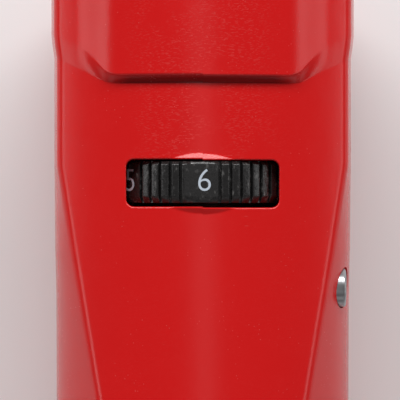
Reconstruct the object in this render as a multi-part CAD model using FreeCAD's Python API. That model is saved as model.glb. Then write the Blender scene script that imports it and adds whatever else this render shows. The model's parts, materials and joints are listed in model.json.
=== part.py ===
"""Hand-held rotary grinder with a thumbwheel speed selector, modelled as separate parts in millimetres.

Frame: the origin is the centre of the collet's mouth on the spindle axis. +Y runs along the tool to
its rear, +X to the right and +Z up, through the panel that holds the speed wheel.
"""
import FreeCAD
import Part

import math
import os

V = FreeCAD.Vector
X_AXIS, Y_AXIS, Z_AXIS = V(1, 0, 0), V(0, 1, 0), V(0, 0, 1)

# --- housing -----------------------------------------------------------------------------------
body_half_width = 20.0      # at the height of the spindle, over the motor
body_top = 21.0             # spindle axis to the top of the panel
body_bottom = 20.6          # spindle axis to the underside before the belly is flattened
belly_cut = 0.6             # depth that the flat belly takes off the underside
wall = 2.0
rear_wall = 2.6
nose_radius = 12.0
neck_radius = 9.0
neck_bore = 5.2
panel_arc_radius = 35.0     # crown of the top panel, across the tool
crease_at_dial = 18.7       # half-width of the panel at the speed wheel
crease_taper = 0.176        # how fast the panel narrows towards the nose
crease_angle = 48.0         # turn of the surface at the crease, where it is sharpest
crease_round = 0.8
crease_inset = 0.9          # least distance of the crease inside the side
lower_squareness = 0.62
parting_mismatch = 0.12     # how far the right half's openings sit ahead of the left half's
grip_thickness = 1.6

# --- hood over the rear end ---------------------------------------------------------------------
hood_setback = 13.0         # dial centre to the hood's front edge
hood_length = 18.5
hood_flat_half_width = 12.6
hood_sweep = 26.0           # degrees that the front edge runs back beside its flat
hood_rise = 1.4
hood_side_rise = 0.4
end_round = 3.5

# --- speed wheel, window and boss ---------------------------------------------------------------
wheel_radius = 14.0
wheel_width = 5.4
wheel_proud = 0.75          # rim above the top of the panel
wheel_front_chamfer = (0.9, 0.5)
wheel_rear_chamfer = (0.4, 0.4)
wheel_web = 1.4
wheel_cup_radius = 11.3
wheel_shaft_radius = 2.0
wheel_boss_radius = 4.0
digit_count = 6
digit_pitch = 45.0
facet_half_angle = 10.0
groove_pitch = 5.9
groove_margin = 0.7
groove_turn = 1.3           # turn of all the ridges past the flats
groove_width = 0.42
groove_depth = 0.6
window_half_width = 10.0
window_front_gap = 0.5
window_rear_gap = 0.28
window_corner = 0.7
boss_below_wheel = 0.12
boss_drop = 0.75
boss_length = 1.3
wheel_relief = 0.5

# --- spindle, collet and nose -------------------------------------------------------------------
shank_radius = 1.6
collet_radius = 3.2
collet_mouth_radius = 2.4
collet_length = 12.0
collet_slots = 4
nut_radius = 6.2
nut_length = 11.0
nut_face = 1.8
spindle_radius = 4.0
spindle_thread_radius = 4.6
spindle_front = 2.6
collar_front = 9.0
collar_length = 18.0
collar_radius = 11.4
collar_lip = 3.0
lock_disc_radius = 7.0
lock_disc_width = 8.0
lock_notch_half = 1.7
lock_notch_count = 4
button_radius = 4.2
button_travel = 2.6
button_proud = 2.0
button_crown = 0.8
button_roof = 1.6
pin_radius = 1.3
pin_gap = 0.5
well_floor = 1.2
spring_wire = 0.2           # radius
spring_turns = 4
spring_steps = 20           # straight pieces in each turn

# --- motor --------------------------------------------------------------------------------------
bearing_radius = 8.0
bearing_width = 5.0
race_share = 0.3            # each race's share of the bearing's wall
ball_count = 8
motor_shaft_radius = 2.5
coupling_radius = 6.0
coupling_length = 12.5
fan_length = 9.0
fan_blades = 9
fan_blade = 1.0
core_length = 28.0
core_slots = 12
armature_radius = 10.3
air_gap = 0.6
end_turn = 4.5
coil_thickness = 3.0
commutator_radius = 8.0
commutator_length = 11.5
commutator_bars = 24
sleeve_wall = 1.0
brush_half = (2.5, 3.0)     # along Y and Z
brush_length = 6.0
brush_wire = 0.25           # radius of the springs behind the brushes
holder_wall = 0.8
holder_length = 8.6
brush_cap_radius = 4.6
brush_cap_sunk = 0.5
brush_cap_depth = 3.0

# --- electrics and fasteners --------------------------------------------------------------------
board_thickness = 1.6
board_half_width = 15.6
board_top = 13.0
board_bottom = -10.4
pot_radius = 7.5
gland_bore = 3.5
gland_radius = 5.6
gland_flange = 1.4
gland_drop = 9.4
gland_proud = 2.4
switch_half = (9.0, 7.0)
switch_wall = 1.0
switch_depth = 12.0
switch_rise = 9.3
bezel_thickness = 1.2
rocker_half_length = 5.2
rocker_tilt = 9.0
screw_radius = 1.5
screw_head_radius = 2.6
screw_head_height = 2.0
screw_head_proud = 0.3
screw_reach = 7.5
post_radius = 2.8
plate_half = (14.0, 8.0)
plate_thickness = 0.4

# --- fits ---------------------------------------------------------------------------------------
fit = 0.1                   # side clearance between pieces that are pushed together
running = 0.05              # radial clearance of a turning or sliding fit
gap = 0.6                   # end clearance beside turning parts

# --- stations along the tool, worked out from the nose to the rear --------------------------------
shell_front = collar_front + collar_length + 1.0
neck_front = collar_front + collar_lip + 0.3
front_bearing = shell_front + 3.0
lock_disc = front_bearing + bearing_width + 6.0
button_y = lock_disc + lock_disc_width / 2
rear_spindle_bearing = lock_disc + lock_disc_width + 12.0
spindle_end = rear_spindle_bearing + bearing_width + 7.0
coupling_front = rear_spindle_bearing + bearing_width + 2.5
coupling_rear = coupling_front + coupling_length
shaft_front = spindle_end + 1.0
motor_bearing = coupling_rear + 1.5
fan_front = motor_bearing + bearing_width + 2.0
fan_rear = fan_front + fan_length
baffle_front = fan_rear + gap
baffle_rear = baffle_front + 1.0
winding_front = baffle_rear + gap
core_front = winding_front + end_turn
core_rear = core_front + core_length
winding_rear = core_rear + end_turn
commutator_front = winding_rear + 1.5
commutator_rear = commutator_front + commutator_length
rear_bearing = commutator_rear + 0.8
shaft_end = rear_bearing + bearing_width + 0.2
wheel_front = shaft_end + 0.8
dial_y = wheel_front + wheel_width / 2
wheel_rear = wheel_front + wheel_width
board_front = wheel_rear + 1.2
board_rear = board_front + board_thickness
hood_front = dial_y + hood_setback
body_rear = hood_front + hood_length
grip_front, grip_rear = shell_front + 2.0, coupling_front + 4.0
wheel_axis_z = body_top + wheel_proud - wheel_radius
window_front, window_rear = wheel_front - window_front_gap, wheel_rear + window_rear_gap
brush_y = commutator_front + commutator_length / 2
belly_z = belly_cut - body_bottom
stator_radius = min(body_half_width, body_top, -belly_z) - wall - 1.4
fan_radius = stator_radius - 1.4
gland_z = -gland_drop

# station of each housing section, with its share of the way from the nose's girth to the body's
GIRTH = [
    (shell_front, 0.0), (button_y, 0.12), (rear_spindle_bearing, 0.32), (coupling_front + 7.0, 0.62),
    (fan_rear, 0.92), (core_front + core_length * 0.7, 1.0), (dial_y - 8.0, 1.0), (dial_y + 8.0, 1.0),
    (body_rear + 4.0, 1.0),
]
crease_starts, crease_full = coupling_front, core_rear - 4.0

# housing screws: station along the tool and height
SCREWS = [
    (rear_spindle_bearing - 4.0, 9.4), (rear_spindle_bearing - 4.0, -9.4),
    (coupling_front + 8.5, 12.2), (coupling_front + 8.5, -12.2),
    (dial_y - 14.0, 11.6), (dial_y - 14.0, -13.2), (board_rear + 5.0, -13.4),
]

# bearings: name, front face and bore radius
BEARINGS = [
    ("front_spindle_bearing", front_bearing, spindle_radius),
    ("rear_spindle_bearing", rear_spindle_bearing, spindle_radius),
    ("front_motor_bearing", motor_bearing, motor_shaft_radius),
    ("rear_motor_bearing", rear_bearing, motor_shaft_radius),
]


# --- plain shapes -------------------------------------------------------------------------------
def rod(radius, y0, y1, x=0.0, z=0.0):
    """Round bar along Y."""
    return Part.makeCylinder(radius, y1 - y0, V(x, y0, z), Y_AXIS)


def tube(radius, bore, y0, y1, x=0.0, z=0.0):
    return rod(radius, y0, y1, x, z).cut(rod(bore, y0, y1, x, z))


def block(x0, x1, y0, y1, z0, z1):
    return Part.makeBox(x1 - x0, y1 - y0, z1 - z0, V(x0, y0, z0))


def post(radius, x, y, z0, z1):
    """Round bar along Z."""
    return Part.makeCylinder(radius, z1 - z0, V(x, y, z0), Z_AXIS)


def pin_x(radius, x0, x1, y, z):
    """Round bar along X."""
    return Part.makeCylinder(radius, x1 - x0, V(x0, y, z), X_AXIS)


def slab(y0, y1):
    """Everything between two stations along the tool."""
    return block(-60, 60, y0, y1, -60, 60)


def turned(profile, x=0.0, z=0.0):
    """Solid of revolution about an axis along Y, from (radius, y) points."""
    points = [V(x + r, y, z) for r, y in profile]
    face = Part.Face(Part.makePolygon(points + points[:1]))
    return face.revolve(V(x, 0, z), Y_AXIS, 360)


def sector(r0, r1, y0, y1, start, end):
    """Part of a tube about the tool's axis, between two angles from +X towards +Z."""
    points = [V(r0, y0, 0), V(r1, y0, 0), V(r1, y1, 0), V(r0, y1, 0)]
    face = Part.Face(Part.makePolygon(points + points[:1]))
    face.rotate(V(0, 0, 0), V(0, -1, 0), start)
    return face.revolve(V(0, 0, 0), V(0, -1, 0), end - start)


def turn_y(shape, degrees, x=0.0, z=0.0):
    """Copy of a shape, turned from +X towards +Z about an axis along Y."""
    copy = shape.copy()
    copy.rotate(V(x, 0, z), V(0, -1, 0), degrees)
    return copy


def mirrored(shape):
    return shape.mirror(V(0, 0, 0), X_AXIS)


def both_sides(shape):
    return [shape, mirrored(shape)]


def prism_x(points, x0, x1):
    """Solid with a flat outline of (y, z) points, between two planes across X."""
    corners = [V(x0, y, z) for y, z in points]
    return Part.Face(Part.makePolygon(corners + corners[:1])).extrude(V(x1 - x0, 0, 0))


def coil_spring(radius, height, wire):
    """Helical spring about Z in short straight pieces, of a wire with eight sides and a round one's area."""
    corner = wire * 1.054
    rings = []
    for k in range(spring_turns * spring_steps + 1):
        turn = 2 * math.pi * k / spring_steps
        z = height * k / (spring_turns * spring_steps)
        points = []
        for i in range(8):
            angle = math.pi * (i + 0.5) / 4
            out = radius + corner * math.cos(angle)
            points.append(V(out * math.cos(turn), out * math.sin(turn), z + corner * math.sin(angle)))
        rings.append(Part.makePolygon(points + points[:1]))
    return Part.makeLoft(rings, True, True)


def joined(shapes):
    return shapes[0].fuse(shapes[1:]).removeSplitter() if shapes[1:] else shapes[0]


def group(shapes):
    return Part.makeCompound(shapes)


# --- housing surface ----------------------------------------------------------------------------
def between(low, high, share):
    return low + (high - low) * share


def bezier(poles):
    curve = Part.BezierCurve()
    curve.setPoles(poles)
    return curve.toShape()


def half_section(y, girth, grow, rise, side_rise):
    """Right half of the housing's outline at one station; grow is an even offset of the outline."""
    plain_width = between(nose_radius, body_half_width, girth)
    width = plain_width + grow + side_rise
    top = between(nose_radius, body_top, girth) + grow + rise
    depth = between(nose_radius, body_bottom, girth) + grow
    sharp = min(1.0, max(0.0, (y - crease_starts) / (crease_full - crease_starts)))
    tapered = min(crease_at_dial + crease_taper * (y - dial_y), plain_width - crease_inset)
    crease = between(0.6 * plain_width, tapered, sharp) + 0.5 * grow + side_rise
    drop = between(0.2 * (top - grow), crease ** 2 / (2 * panel_arc_radius), sharp)
    slope = math.atan2(2 * drop, crease) + math.radians(crease_angle * sharp)
    corner = V(crease, y, top - drop)
    reach = math.hypot(width - crease, corner.z) * 0.36
    lean = corner + V(math.cos(slope) * reach, 0, -math.sin(slope) * reach)
    lean.x = min(lean.x, width)
    edge = crease - crease_round
    near = V(edge, y, top - drop * (edge / crease) ** 2)
    far = corner + (lean - corner).normalize() * crease_round
    crown = [V(0, y, top), V(edge / 3, y, top), V(edge * 2 / 3, y, between(top, near.z, 1 / 3)), near]
    turn = [near, near + (corner - near) * 0.6, far + (corner - far) * 0.6, far]
    side = [far, lean, V(width, y, corner.z * 0.45), V(width, y, 0)]
    low = lower_squareness
    under = [V(width, y, 0), V(width, y, -low * depth), V(low * width, y, -depth), V(0, y, -depth)]
    edges = [bezier(poles) for poles in (crown, turn, side, under)]
    return Part.Wire(edges + [Part.makeLine(V(0, y, -depth), V(0, y, top))])


def half_body(grow, rise=0.0, side_rise=0.0):
    """Right half of the whole housing's volume, from the shell's front to behind its rear."""
    stations = [(hood_front - 8.0, 1.0), (body_rear - end_round, 1.0)] if rise else GIRTH
    wires = [half_section(y, girth, grow, rise, side_rise) for y, girth in stations]
    return Part.makeLoft(wires, True, False)


OUTER = half_body(0.0)
INNER = half_body(-wall)


def skin_x(y, z):
    """Half-width of the housing at one station and height."""
    ray = Part.makeLine(V(0.01, y, z), V(60, y, z))
    return ray.common(OUTER).BoundBox.XMax


# --- housing halves -----------------------------------------------------------------------------
def hood(shift):
    """Raised rear part with a front edge that runs back beside its flat."""
    far = 2 * body_half_width
    run = (far - hood_flat_half_width) * math.tan(math.radians(hood_sweep))
    plan = [(0, hood_front + shift), (hood_flat_half_width, hood_front + shift),
            (far, hood_front + run + shift), (far, body_rear + run), (0, body_rear + run)]
    points = [V(x, y, -40) for x, y in plan]
    region = Part.Face(Part.makePolygon(points + points[:1])).extrude(V(0, 0, 80))
    raised = half_body(0.0, hood_rise, hood_side_rise).common(region)
    return raised.fuse(rounded_end())


def rounded_end():
    """Last stretch of the hood, drawn in by a quarter circle."""
    wires = []
    for k in range(5):
        angle = math.radians(22.5 * k)
        inset = end_round * (1 - math.cos(angle))
        y = body_rear - end_round * (1 - math.sin(angle))
        wires.append(half_section(y, 1.0, -inset, hood_rise, hood_side_rise))
    return Part.makeLoft(wires, True, False)


def boss(shift):
    """Low ring round the wheel's opening, of the same centre as the wheel."""
    crest = wheel_radius - boss_below_wheel
    low, root = crest - boss_drop, crest - 3.5
    y0, y1 = window_front + shift, window_rear + shift
    ring = turned([(root, y0 - boss_length), (low, y0 - boss_length), (crest, y0), (crest, y1),
                   (low, y1 + boss_length), (root, y1 + boss_length)], 0, wheel_axis_z)
    return ring.common(block(0, window_half_width, y0 - 5, y1 + 5, body_top - 2.2, body_top + 5))


def window(shift):
    y0, y1 = window_front + shift, window_rear + shift
    opening = block(-window_half_width, window_half_width, y0, y1, body_top - wall - 3, body_top + 5)
    corners = [e for e in opening.Edges if e.BoundBox.ZLength > 1]
    relief = rod(wheel_radius + wheel_relief, wheel_front - window_front_gap, wheel_rear + 0.2, 0,
                 wheel_axis_z)
    relief = relief.common(block(-20, 20, 0, 300, 5, body_top - 1))
    return [opening.makeFillet(window_corner, corners), relief]


def bearing_seats():
    """Bores of the four bearing webs, and of the passage through them."""
    through = bearing_radius - 1.6
    seats = [rod(neck_bore, 0, shell_front + 4), rod(through, shell_front + wall, motor_bearing + 9)]
    for name, y, bore in BEARINGS[:3]:
        seats.append(rod(bearing_radius, y, y + bearing_width))
    seats.append(rod(bearing_radius + sleeve_wall, rear_bearing, rear_bearing + bearing_width))
    seats.append(rod(through, rear_bearing - 2, shaft_end + 2))
    return seats


def screw_posts():
    return [pin_x(post_radius, 0, body_half_width + 5, y, z) for y, z in SCREWS]


def screw_holes(right):
    holes = []
    for y, z in SCREWS:
        if right:
            seat = skin_x(y, z) + screw_head_proud - screw_head_height
            holes.append(pin_x(screw_radius + fit, -1, 40, y, z))
            holes.append(pin_x(screw_head_radius + fit, seat, 40, y, z))
        else:
            holes.append(pin_x(screw_radius, -1, screw_reach + 0.4, y, z))
    return holes


def vents():
    slots = []
    for i in range(4):
        y = fan_front + 0.6 + i * 2.2
        slots.append(block(5, 40, y, y + 1.2, -8.5, 8.5))
    for i in range(5):
        y = board_rear + 2.0 + i * 3.0
        slots.append(block(5, 40, y, y + 1.4, -7.0, 7.0))
    return slots


def air_ways(y0, y1):
    """Openings through a web round the motor's rear bearing."""
    inner, outer = bearing_radius + sleeve_wall + 1.6, stator_radius - 0.6
    return [sector(inner, outer, y0, y1, start, start + 32) for start in (-76, -36, 4, 44)]


def brush_boss():
    return pin_x(brush_cap_radius + 1.8, commutator_radius + 4.0, 40, brush_y, 0)


def brush_bore():
    half_y = brush_half[0] + holder_wall + fit
    half_z = brush_half[1] + holder_wall + fit
    seat = skin_x(brush_y, 0) - brush_cap_sunk - brush_cap_depth
    square = block(commutator_radius, seat + 0.1, brush_y - half_y, brush_y + half_y, -half_z, half_z)
    return [square, pin_x(brush_cap_radius, seat, 40, brush_y, 0)]


def housing(right):
    """One half of the housing, as a right half."""
    shift = -parting_mismatch if right else 0.0
    webs = [slab(0, front_bearing + bearing_width + 1), slab(body_rear - rear_wall, body_rear + 60)]
    webs += [slab(y - 1, y + bearing_width + 1) for name, y, bore in BEARINGS[1:3]]
    webs.append(slab(rear_bearing - gap, rear_bearing + bearing_width + gap))
    for y in (core_front + 3, core_rear - 6):
        webs.append(slab(y, y + 3).cut(rod(stator_radius, y, y + 3)))
    webs.append(block(board_half_width - 1.4, 60, board_front - 1, board_rear + 1, -9, 9))
    webs.append(brush_boss())
    # pocket for the lock button, closed below
    well = well_levels()
    webs.append(post(button_radius + running + 1.2, 0, button_y, well["floor"], body_top + 20))
    hollow = INNER.cut(webs + screw_posts())
    outer = OUTER.common(slab(0, hood_front + 8))
    neck = rod(neck_radius, neck_front, shell_front + 1).common(block(0, 60, 0, 200, -60, 60))
    outer = outer.fuse([hood(shift), boss(shift), neck])
    cuts = [hollow, block(-60, 60, 0, 300, -60, belly_z)]
    cuts += bearing_seats() + window(shift) + screw_holes(right) + vents() + brush_bore()
    cuts += air_ways(rear_bearing - 5, rear_bearing + bearing_width + 2)
    cuts.append(post(button_radius + running, 0, button_y, well["top"], 60))
    cuts.append(post(pin_radius + running, 0, button_y, 0, 60))
    cuts.append(board_plate())
    cuts.append(gland_body())
    cuts.append(switch_cutout())
    cuts.append(plate_recess())
    return outer.cut(cuts)


def well_levels():
    """Heights of the lock button and of the pocket it slides in."""
    tip = lock_disc_radius + pin_gap
    floor = tip + 0.3
    top = floor + well_floor
    under = top + button_travel + 0.3
    skin = between(nose_radius, body_top, GIRTH[1][1])
    return {"tip": tip, "floor": floor, "top": top, "under": under,
            "crest": max(skin, under + 1.6) + button_proud}


def grip(right):
    skin = half_body(grip_thickness).common(slab(grip_front, grip_rear)).cut(OUTER)
    holes = [post(button_radius + 0.7, 0, button_y, 0, 60)]
    for y, z in SCREWS:
        holes.append(pin_x(screw_head_radius + 0.6, 0, 60, y, z))
    return skin.cut(holes)


# --- nose, collet and spindle -------------------------------------------------------------------
def nose_collar():
    y0, y1 = collar_front, collar_front + collar_length
    profile = [(nut_radius + 0.8, y0), (collar_radius - 2.2, y0), (collar_radius, y0 + 3.5),
               (collar_radius, y1 - 0.8), (collar_radius - 0.8, y1), (neck_radius + running, y1),
               (neck_radius + running, y0 + collar_lip), (nut_radius + 0.8, y0 + collar_lip)]
    ring = turned(profile)
    flutes = []
    for i in range(24):
        flutes.append(turn_y(rod(0.5, y0 + 5.5, y1 - 2, collar_radius + 0.1, 0), i * 15.0))
    return ring.cut(flutes)


def collet():
    neck_y = nut_face + 0.05
    profile = [(shank_radius, 0), (collet_mouth_radius, 0), (collet_mouth_radius, neck_y),
               (collet_radius, spindle_front), (collet_radius, collet_length), (shank_radius, collet_length)]
    sleeve = turned(profile)
    slots = []
    for i in range(collet_slots):
        slit = block(0, 10, -1, collet_length - 3, -0.25, 0.25)
        slots.append(turn_y(slit, 360.0 / collet_slots * i + 45))
    return sleeve.cut(slots)


def collet_nut():
    profile = [(collet_mouth_radius + running, 0), (nut_radius - 1.6, 0), (nut_radius, 2.4),
               (nut_radius, nut_length), (spindle_thread_radius + running, nut_length),
               (spindle_thread_radius + running, nut_face), (collet_mouth_radius + running, nut_face)]
    nut = turned(profile)
    flats = []
    for i in range(2):
        flats.append(turn_y(block(nut_radius - 0.9, 20, 3.4, 8.4, -20, 20), 180.0 * i))
    return nut.cut(flats)


def spindle():
    shoulder = front_bearing - 1.5
    profile = [(collet_radius + running, spindle_front), (spindle_thread_radius, spindle_front),
               (spindle_thread_radius, nut_length + 2), (spindle_radius, nut_length + 2),
               (spindle_radius, shoulder - 1), (spindle_radius + 1, shoulder - 1),
               (spindle_radius + 1, front_bearing), (spindle_radius, front_bearing),
               (spindle_radius, spindle_end), (0, spindle_end), (0, collet_length + 3),
               (collet_radius + running, collet_length + 3)]
    return turned(profile)


def lock_disc_ring():
    """Ring with notches in its rim for the lock pin."""
    disc = tube(lock_disc_radius, spindle_radius, lock_disc, lock_disc + lock_disc_width)
    notch = block(-lock_notch_half, lock_notch_half, 0, 300, spindle_radius + 0.4, 30)
    return disc.cut([turn_y(notch, 360.0 / lock_notch_count * i) for i in range(lock_notch_count)])


def lock_button():
    well = well_levels()
    crest = well["crest"]
    cap = post(button_radius, 0, button_y, well["under"], crest)
    cap = cap.makeFillet(button_crown, [e for e in cap.Edges if e.BoundBox.ZMin > crest - 0.01])
    hollow = post(pin_radius + spring_wire * 5, 0, button_y, well["under"], crest - button_roof)
    return cap.cut([hollow, post(pin_radius, 0, button_y, 0, crest - 0.8)])


def lock_pin():
    well = well_levels()
    return post(pin_radius, 0, button_y, well["tip"], well["crest"] - 0.8)


def lock_spring():
    """Spring between the pocket's floor and the hollow of the button."""
    well = well_levels()
    low, high = well["top"] + spring_wire, well["crest"] - button_roof - spring_wire
    spring = coil_spring(pin_radius + spring_wire * 3, high - low, spring_wire)
    spring.translate(V(0, button_y, low))
    return spring


def bearing_parts(y, bore):
    wide = (bearing_radius - bore) * race_share
    inner, outer = bore + wide, bearing_radius - wide
    ball = (outer - inner - running) / 2
    centre = outer - ball
    balls = []
    for i in range(ball_count):
        angle = 2 * math.pi * i / ball_count
        place = V(centre * math.cos(angle), y + bearing_width / 2, centre * math.sin(angle))
        balls.append(Part.makeSphere(ball, place))
    return tube(bearing_radius, outer, y, y + bearing_width), tube(inner, bore, y, y + bearing_width), balls


# --- motor --------------------------------------------------------------------------------------
def coupling():
    body = tube(coupling_radius, motor_shaft_radius, coupling_front, coupling_rear)
    body = body.cut(rod(spindle_radius, coupling_front, spindle_end))
    groove = block(coupling_radius - 0.7, 10, coupling_front + 2, coupling_rear - 2, -0.6, 0.6)
    return body.cut([turn_y(groove, i * 60.0) for i in range(6)])


def fan():
    hub_radius = motor_shaft_radius + 3.0
    hub = tube(hub_radius, motor_shaft_radius, fan_front, fan_rear)
    plate = tube(fan_radius, motor_shaft_radius, fan_front, fan_front + 1.4)
    blades = []
    for i in range(fan_blades):
        blade = block(hub_radius - 0.5, fan_radius - 0.4, fan_front + 1, fan_rear,
                      -fan_blade / 2, fan_blade / 2)
        blade.rotate(V(hub_radius, 0, 0), V(0, 1, 0), 22)
        blades.append(turn_y(blade, i * 360.0 / fan_blades))
    return joined([hub, plate] + blades).common(rod(fan_radius, fan_front, fan_rear))


def air_baffle():
    half = half_body(-wall - fit).common(slab(baffle_front, baffle_rear))
    disc = joined(both_sides(half))
    return disc.cut(rod(armature_radius + 1.5, 0, 300))


COIL_STARTS = (16, 142, 196, 322)       # degrees from +X towards +Z


def coil_sides(grow):
    """Four straight runs of the field coils, in the slots of the stator."""
    inner = armature_radius + air_gap + 0.8
    sides = []
    for start in COIL_STARTS:
        sides.append(sector(inner, inner + coil_thickness, core_front - grow, core_rear + grow,
                            start, start + 22))
    return sides


def stator_core():
    ring = tube(stator_radius, armature_radius + air_gap, core_front, core_rear)
    inner = armature_radius
    slots = coil_sides(0.0)
    for start in COIL_STARTS:
        mouth = sector(inner, inner + air_gap + 0.9, core_front, core_rear, start + 6, start + 16)
        slots.append(mouth)
    return ring.cut(slots)


def field_coils():
    inner = armature_radius + air_gap + 0.8
    sides = coil_sides(end_turn - 1.2)
    coils = []
    for a, b in ((0, 1), (2, 3)):
        start = 16 if a == 0 else 196
        parts = [sides[a], sides[b]]
        for y0, y1 in ((core_front - end_turn + 1.2, core_front), (core_rear, core_rear + end_turn - 1.2)):
            parts.append(sector(inner, inner + coil_thickness, y0, y1, start, start + 148))
        coils.append(joined(parts))
    return group(coils)


def slot_gap(y0, y1, r0, r1, width):
    return [turn_y(block(r0, r1, y0, y1, -width / 2, width / 2), 360.0 / core_slots * (i + 0.5))
            for i in range(core_slots)]


def armature_core():
    core = tube(armature_radius, motor_shaft_radius, core_front, core_rear)
    return core.cut(slot_gap(core_front, core_rear, armature_radius * 0.5, armature_radius + 1, 2.0))


def armature_windings():
    inner, outer = armature_radius * 0.5, armature_radius - 0.7
    fills = slot_gap(core_front, core_rear, inner, outer, 2.0)
    ends = []
    for y0, y1, y2 in ((core_front, core_front - end_turn + 1.2, core_front - end_turn),
                       (core_rear, core_rear + end_turn - 1.2, core_rear + end_turn)):
        ends.append(turned([(motor_shaft_radius, y0), (outer, y0), (outer, y1), (outer - 1.2, y2),
                            (motor_shaft_radius, y2)]))
    return joined(ends + fills)


def commutator():
    bars = tube(commutator_radius, motor_shaft_radius, commutator_front, commutator_rear)
    lip = tube(commutator_radius + 0.9, motor_shaft_radius, commutator_front, commutator_front + 1.6)
    slit = block(commutator_radius - 0.5, 20, commutator_front - 1, commutator_rear + 1, -0.2, 0.2)
    cuts = [turn_y(slit, i * 360.0 / commutator_bars) for i in range(commutator_bars)]
    return joined([bars, lip]).cut(cuts)


def brush_set():
    """Brush, holder, spring and cap of the right side."""
    y, half_y, half_z = brush_y, brush_half[0], brush_half[1]
    seat = skin_x(y, 0) - brush_cap_sunk - brush_cap_depth
    brush = block(commutator_radius - 3, commutator_radius + brush_length, y - half_y, y + half_y,
                  -half_z, half_z)
    brush = brush.cut(rod(commutator_radius + running, y - 20, y + 20))
    wide_y, wide_z = half_y + holder_wall, half_z + holder_wall
    shell = block(commutator_radius + 1.2, seat, y - wide_y, y + wide_y, -wide_z, wide_z)
    shell = shell.cut(block(0, seat + 1, y - half_y, y + half_y, -half_z, half_z))
    cap = pin_x(brush_cap_radius, seat, seat + brush_cap_depth, y, 0)
    cap = cap.cut(block(seat + brush_cap_depth - 1.1, 60, y - 0.6, y + 0.6, -3.4, 3.4))
    x0, x1 = commutator_radius + brush_length, seat
    spring = coil_spring(brush_half[0] - 0.7, x1 - x0 - 2.4 * brush_wire, brush_wire)
    spring.rotate(V(0, 0, 0), Y_AXIS, 90)
    spring.translate(V(x0 + 1.2 * brush_wire, y, 0))
    return brush, shell, spring, cap


# --- speed control ------------------------------------------------------------------------------
def speed_wheel():
    """Cup-shaped wheel with a flat for each digit and fine ridges between them."""
    front_y, front_r = wheel_front_chamfer
    rear_y, rear_r = wheel_rear_chamfer
    z = wheel_axis_z
    web = wheel_front + wheel_web
    profile = [(wheel_shaft_radius, wheel_front), (wheel_radius - front_r, wheel_front),
               (wheel_radius, wheel_front + front_y), (wheel_radius, wheel_rear - rear_y),
               (wheel_radius - rear_r, wheel_rear), (wheel_cup_radius, wheel_rear), (wheel_cup_radius, web),
               (wheel_boss_radius, web), (wheel_boss_radius, web + 0.4), (wheel_shaft_radius, web + 0.4)]
    wheel = turned(profile, 0, z)
    flat = wheel_radius * math.cos(math.radians(facet_half_angle))
    cuts = []
    for i in range(digit_count):
        facet = block(-6, 6, wheel_front - 1, wheel_rear + 1, z + flat, z + flat + 5)
        cuts.append(turn_y(facet, digit_pitch * i, 0, z))
    for angle in groove_angles():
        groove = block(-groove_width / 2, groove_width / 2, wheel_front - 1, wheel_rear + 1,
                       z + wheel_radius - groove_depth, z + wheel_radius + 1)
        cuts.append(turn_y(groove, angle, 0, z))
    return wheel.cut(cuts)


def groove_angles():
    """Angles of the grooves, from the top of the wheel towards -X."""
    angles = []
    for i in range(digit_count):
        start = digit_pitch * i + facet_half_angle + groove_margin
        stop = digit_pitch * (i + 1) if i < digit_count - 1 else 360.0
        span = stop - facet_half_angle - groove_margin - start
        count = max(1, round(span / groove_pitch))
        angles += [start + span * k / count + groove_turn for k in range(count + 1)]
    return angles


def potentiometer():
    front = wheel_front + wheel_web + 1.0
    body = rod(pot_radius, front, board_front, 0, wheel_axis_z)
    body = body.cut(rod(wheel_shaft_radius + running, front, board_front, 0, wheel_axis_z))
    return body.cut(block(-3, 3, board_front - 1, board_front, wheel_axis_z - 9, wheel_axis_z - 5))


def potentiometer_shaft():
    return rod(wheel_shaft_radius, wheel_front, board_front - 0.3, 0, wheel_axis_z)


def board_plate():
    return block(-board_half_width, board_half_width, board_front, board_rear, board_bottom, board_top)


def control_board():
    plate = board_plate()
    holes = [rod(0.5, 0, 300, x, wheel_axis_z - 6) for x in (-2.5, 0, 2.5)]
    return plate.cut(holes)


def heat_sink():
    base = block(-14.0, -3.0, board_rear, board_rear + 1.6, -9.5, 8.5)
    fins = [block(x, x + 1.4, board_rear + 1, board_rear + 7.0, -9.5, 8.5) for x in (-14.0, -4.4)]
    return joined([base] + fins)


def triac():
    y = board_rear + 1.6
    tab = block(-12.0, -7.0, y, y + 1.0, -8.0, 6.0)
    body = block(-12.0, -7.0, y + 1.0, y + 3.6, -8.0, 0.0)
    return joined([tab, body])


def capacitor():
    body = block(2.0, 13.0, board_rear, board_rear + 8.5, -9.6, -3.0)
    return body.makeFillet(0.6, [e for e in body.Edges if e.BoundBox.YMin > board_rear + 1])


def choke():
    """Ring core with a coil wound round it, standing on the board."""
    x, y, z = 8.5, board_rear + 1.8, 5.4
    ring = Part.makeTorus(3.4, 1.2, V(x, y, z), Y_AXIS)
    turns = []
    for i in range(12):
        loop = Part.makeTorus(1.5, 0.3, V(x + 3.4, y, z), Z_AXIS)
        turns.append(turn_y(loop, i * 30.0, x, z))
    return ring, turns


def resistors():
    return [pin_x(1.1, -2.4, 2.6 - 0.8, board_rear + 1.1, z) for z in (-8.0, -4.6, -1.2)]


# --- rear end -----------------------------------------------------------------------------------
def gland_body():
    """Solid outline of the gland, also the tool for its seat."""
    y0, y1 = body_rear - rear_wall, body_rear
    big = gland_radius + gland_flange
    return turned([(0, y0 - 1.6), (big, y0 - 1.6), (big, y0), (gland_radius, y0), (gland_radius, y1),
                   (big, y1), (big - 0.8, y1 + gland_proud), (0, y1 + gland_proud)], 0, gland_z)


def cable_gland():
    return gland_body().cut(rod(gland_bore, 0, 400, 0, gland_z))


def switch_cutout():
    x, z = switch_half
    return block(-x, x, body_rear - 30, body_rear + 30, switch_rise - z, switch_rise + z).common(
        slab(body_rear - rear_wall - 0.1, body_rear + 30))


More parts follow.
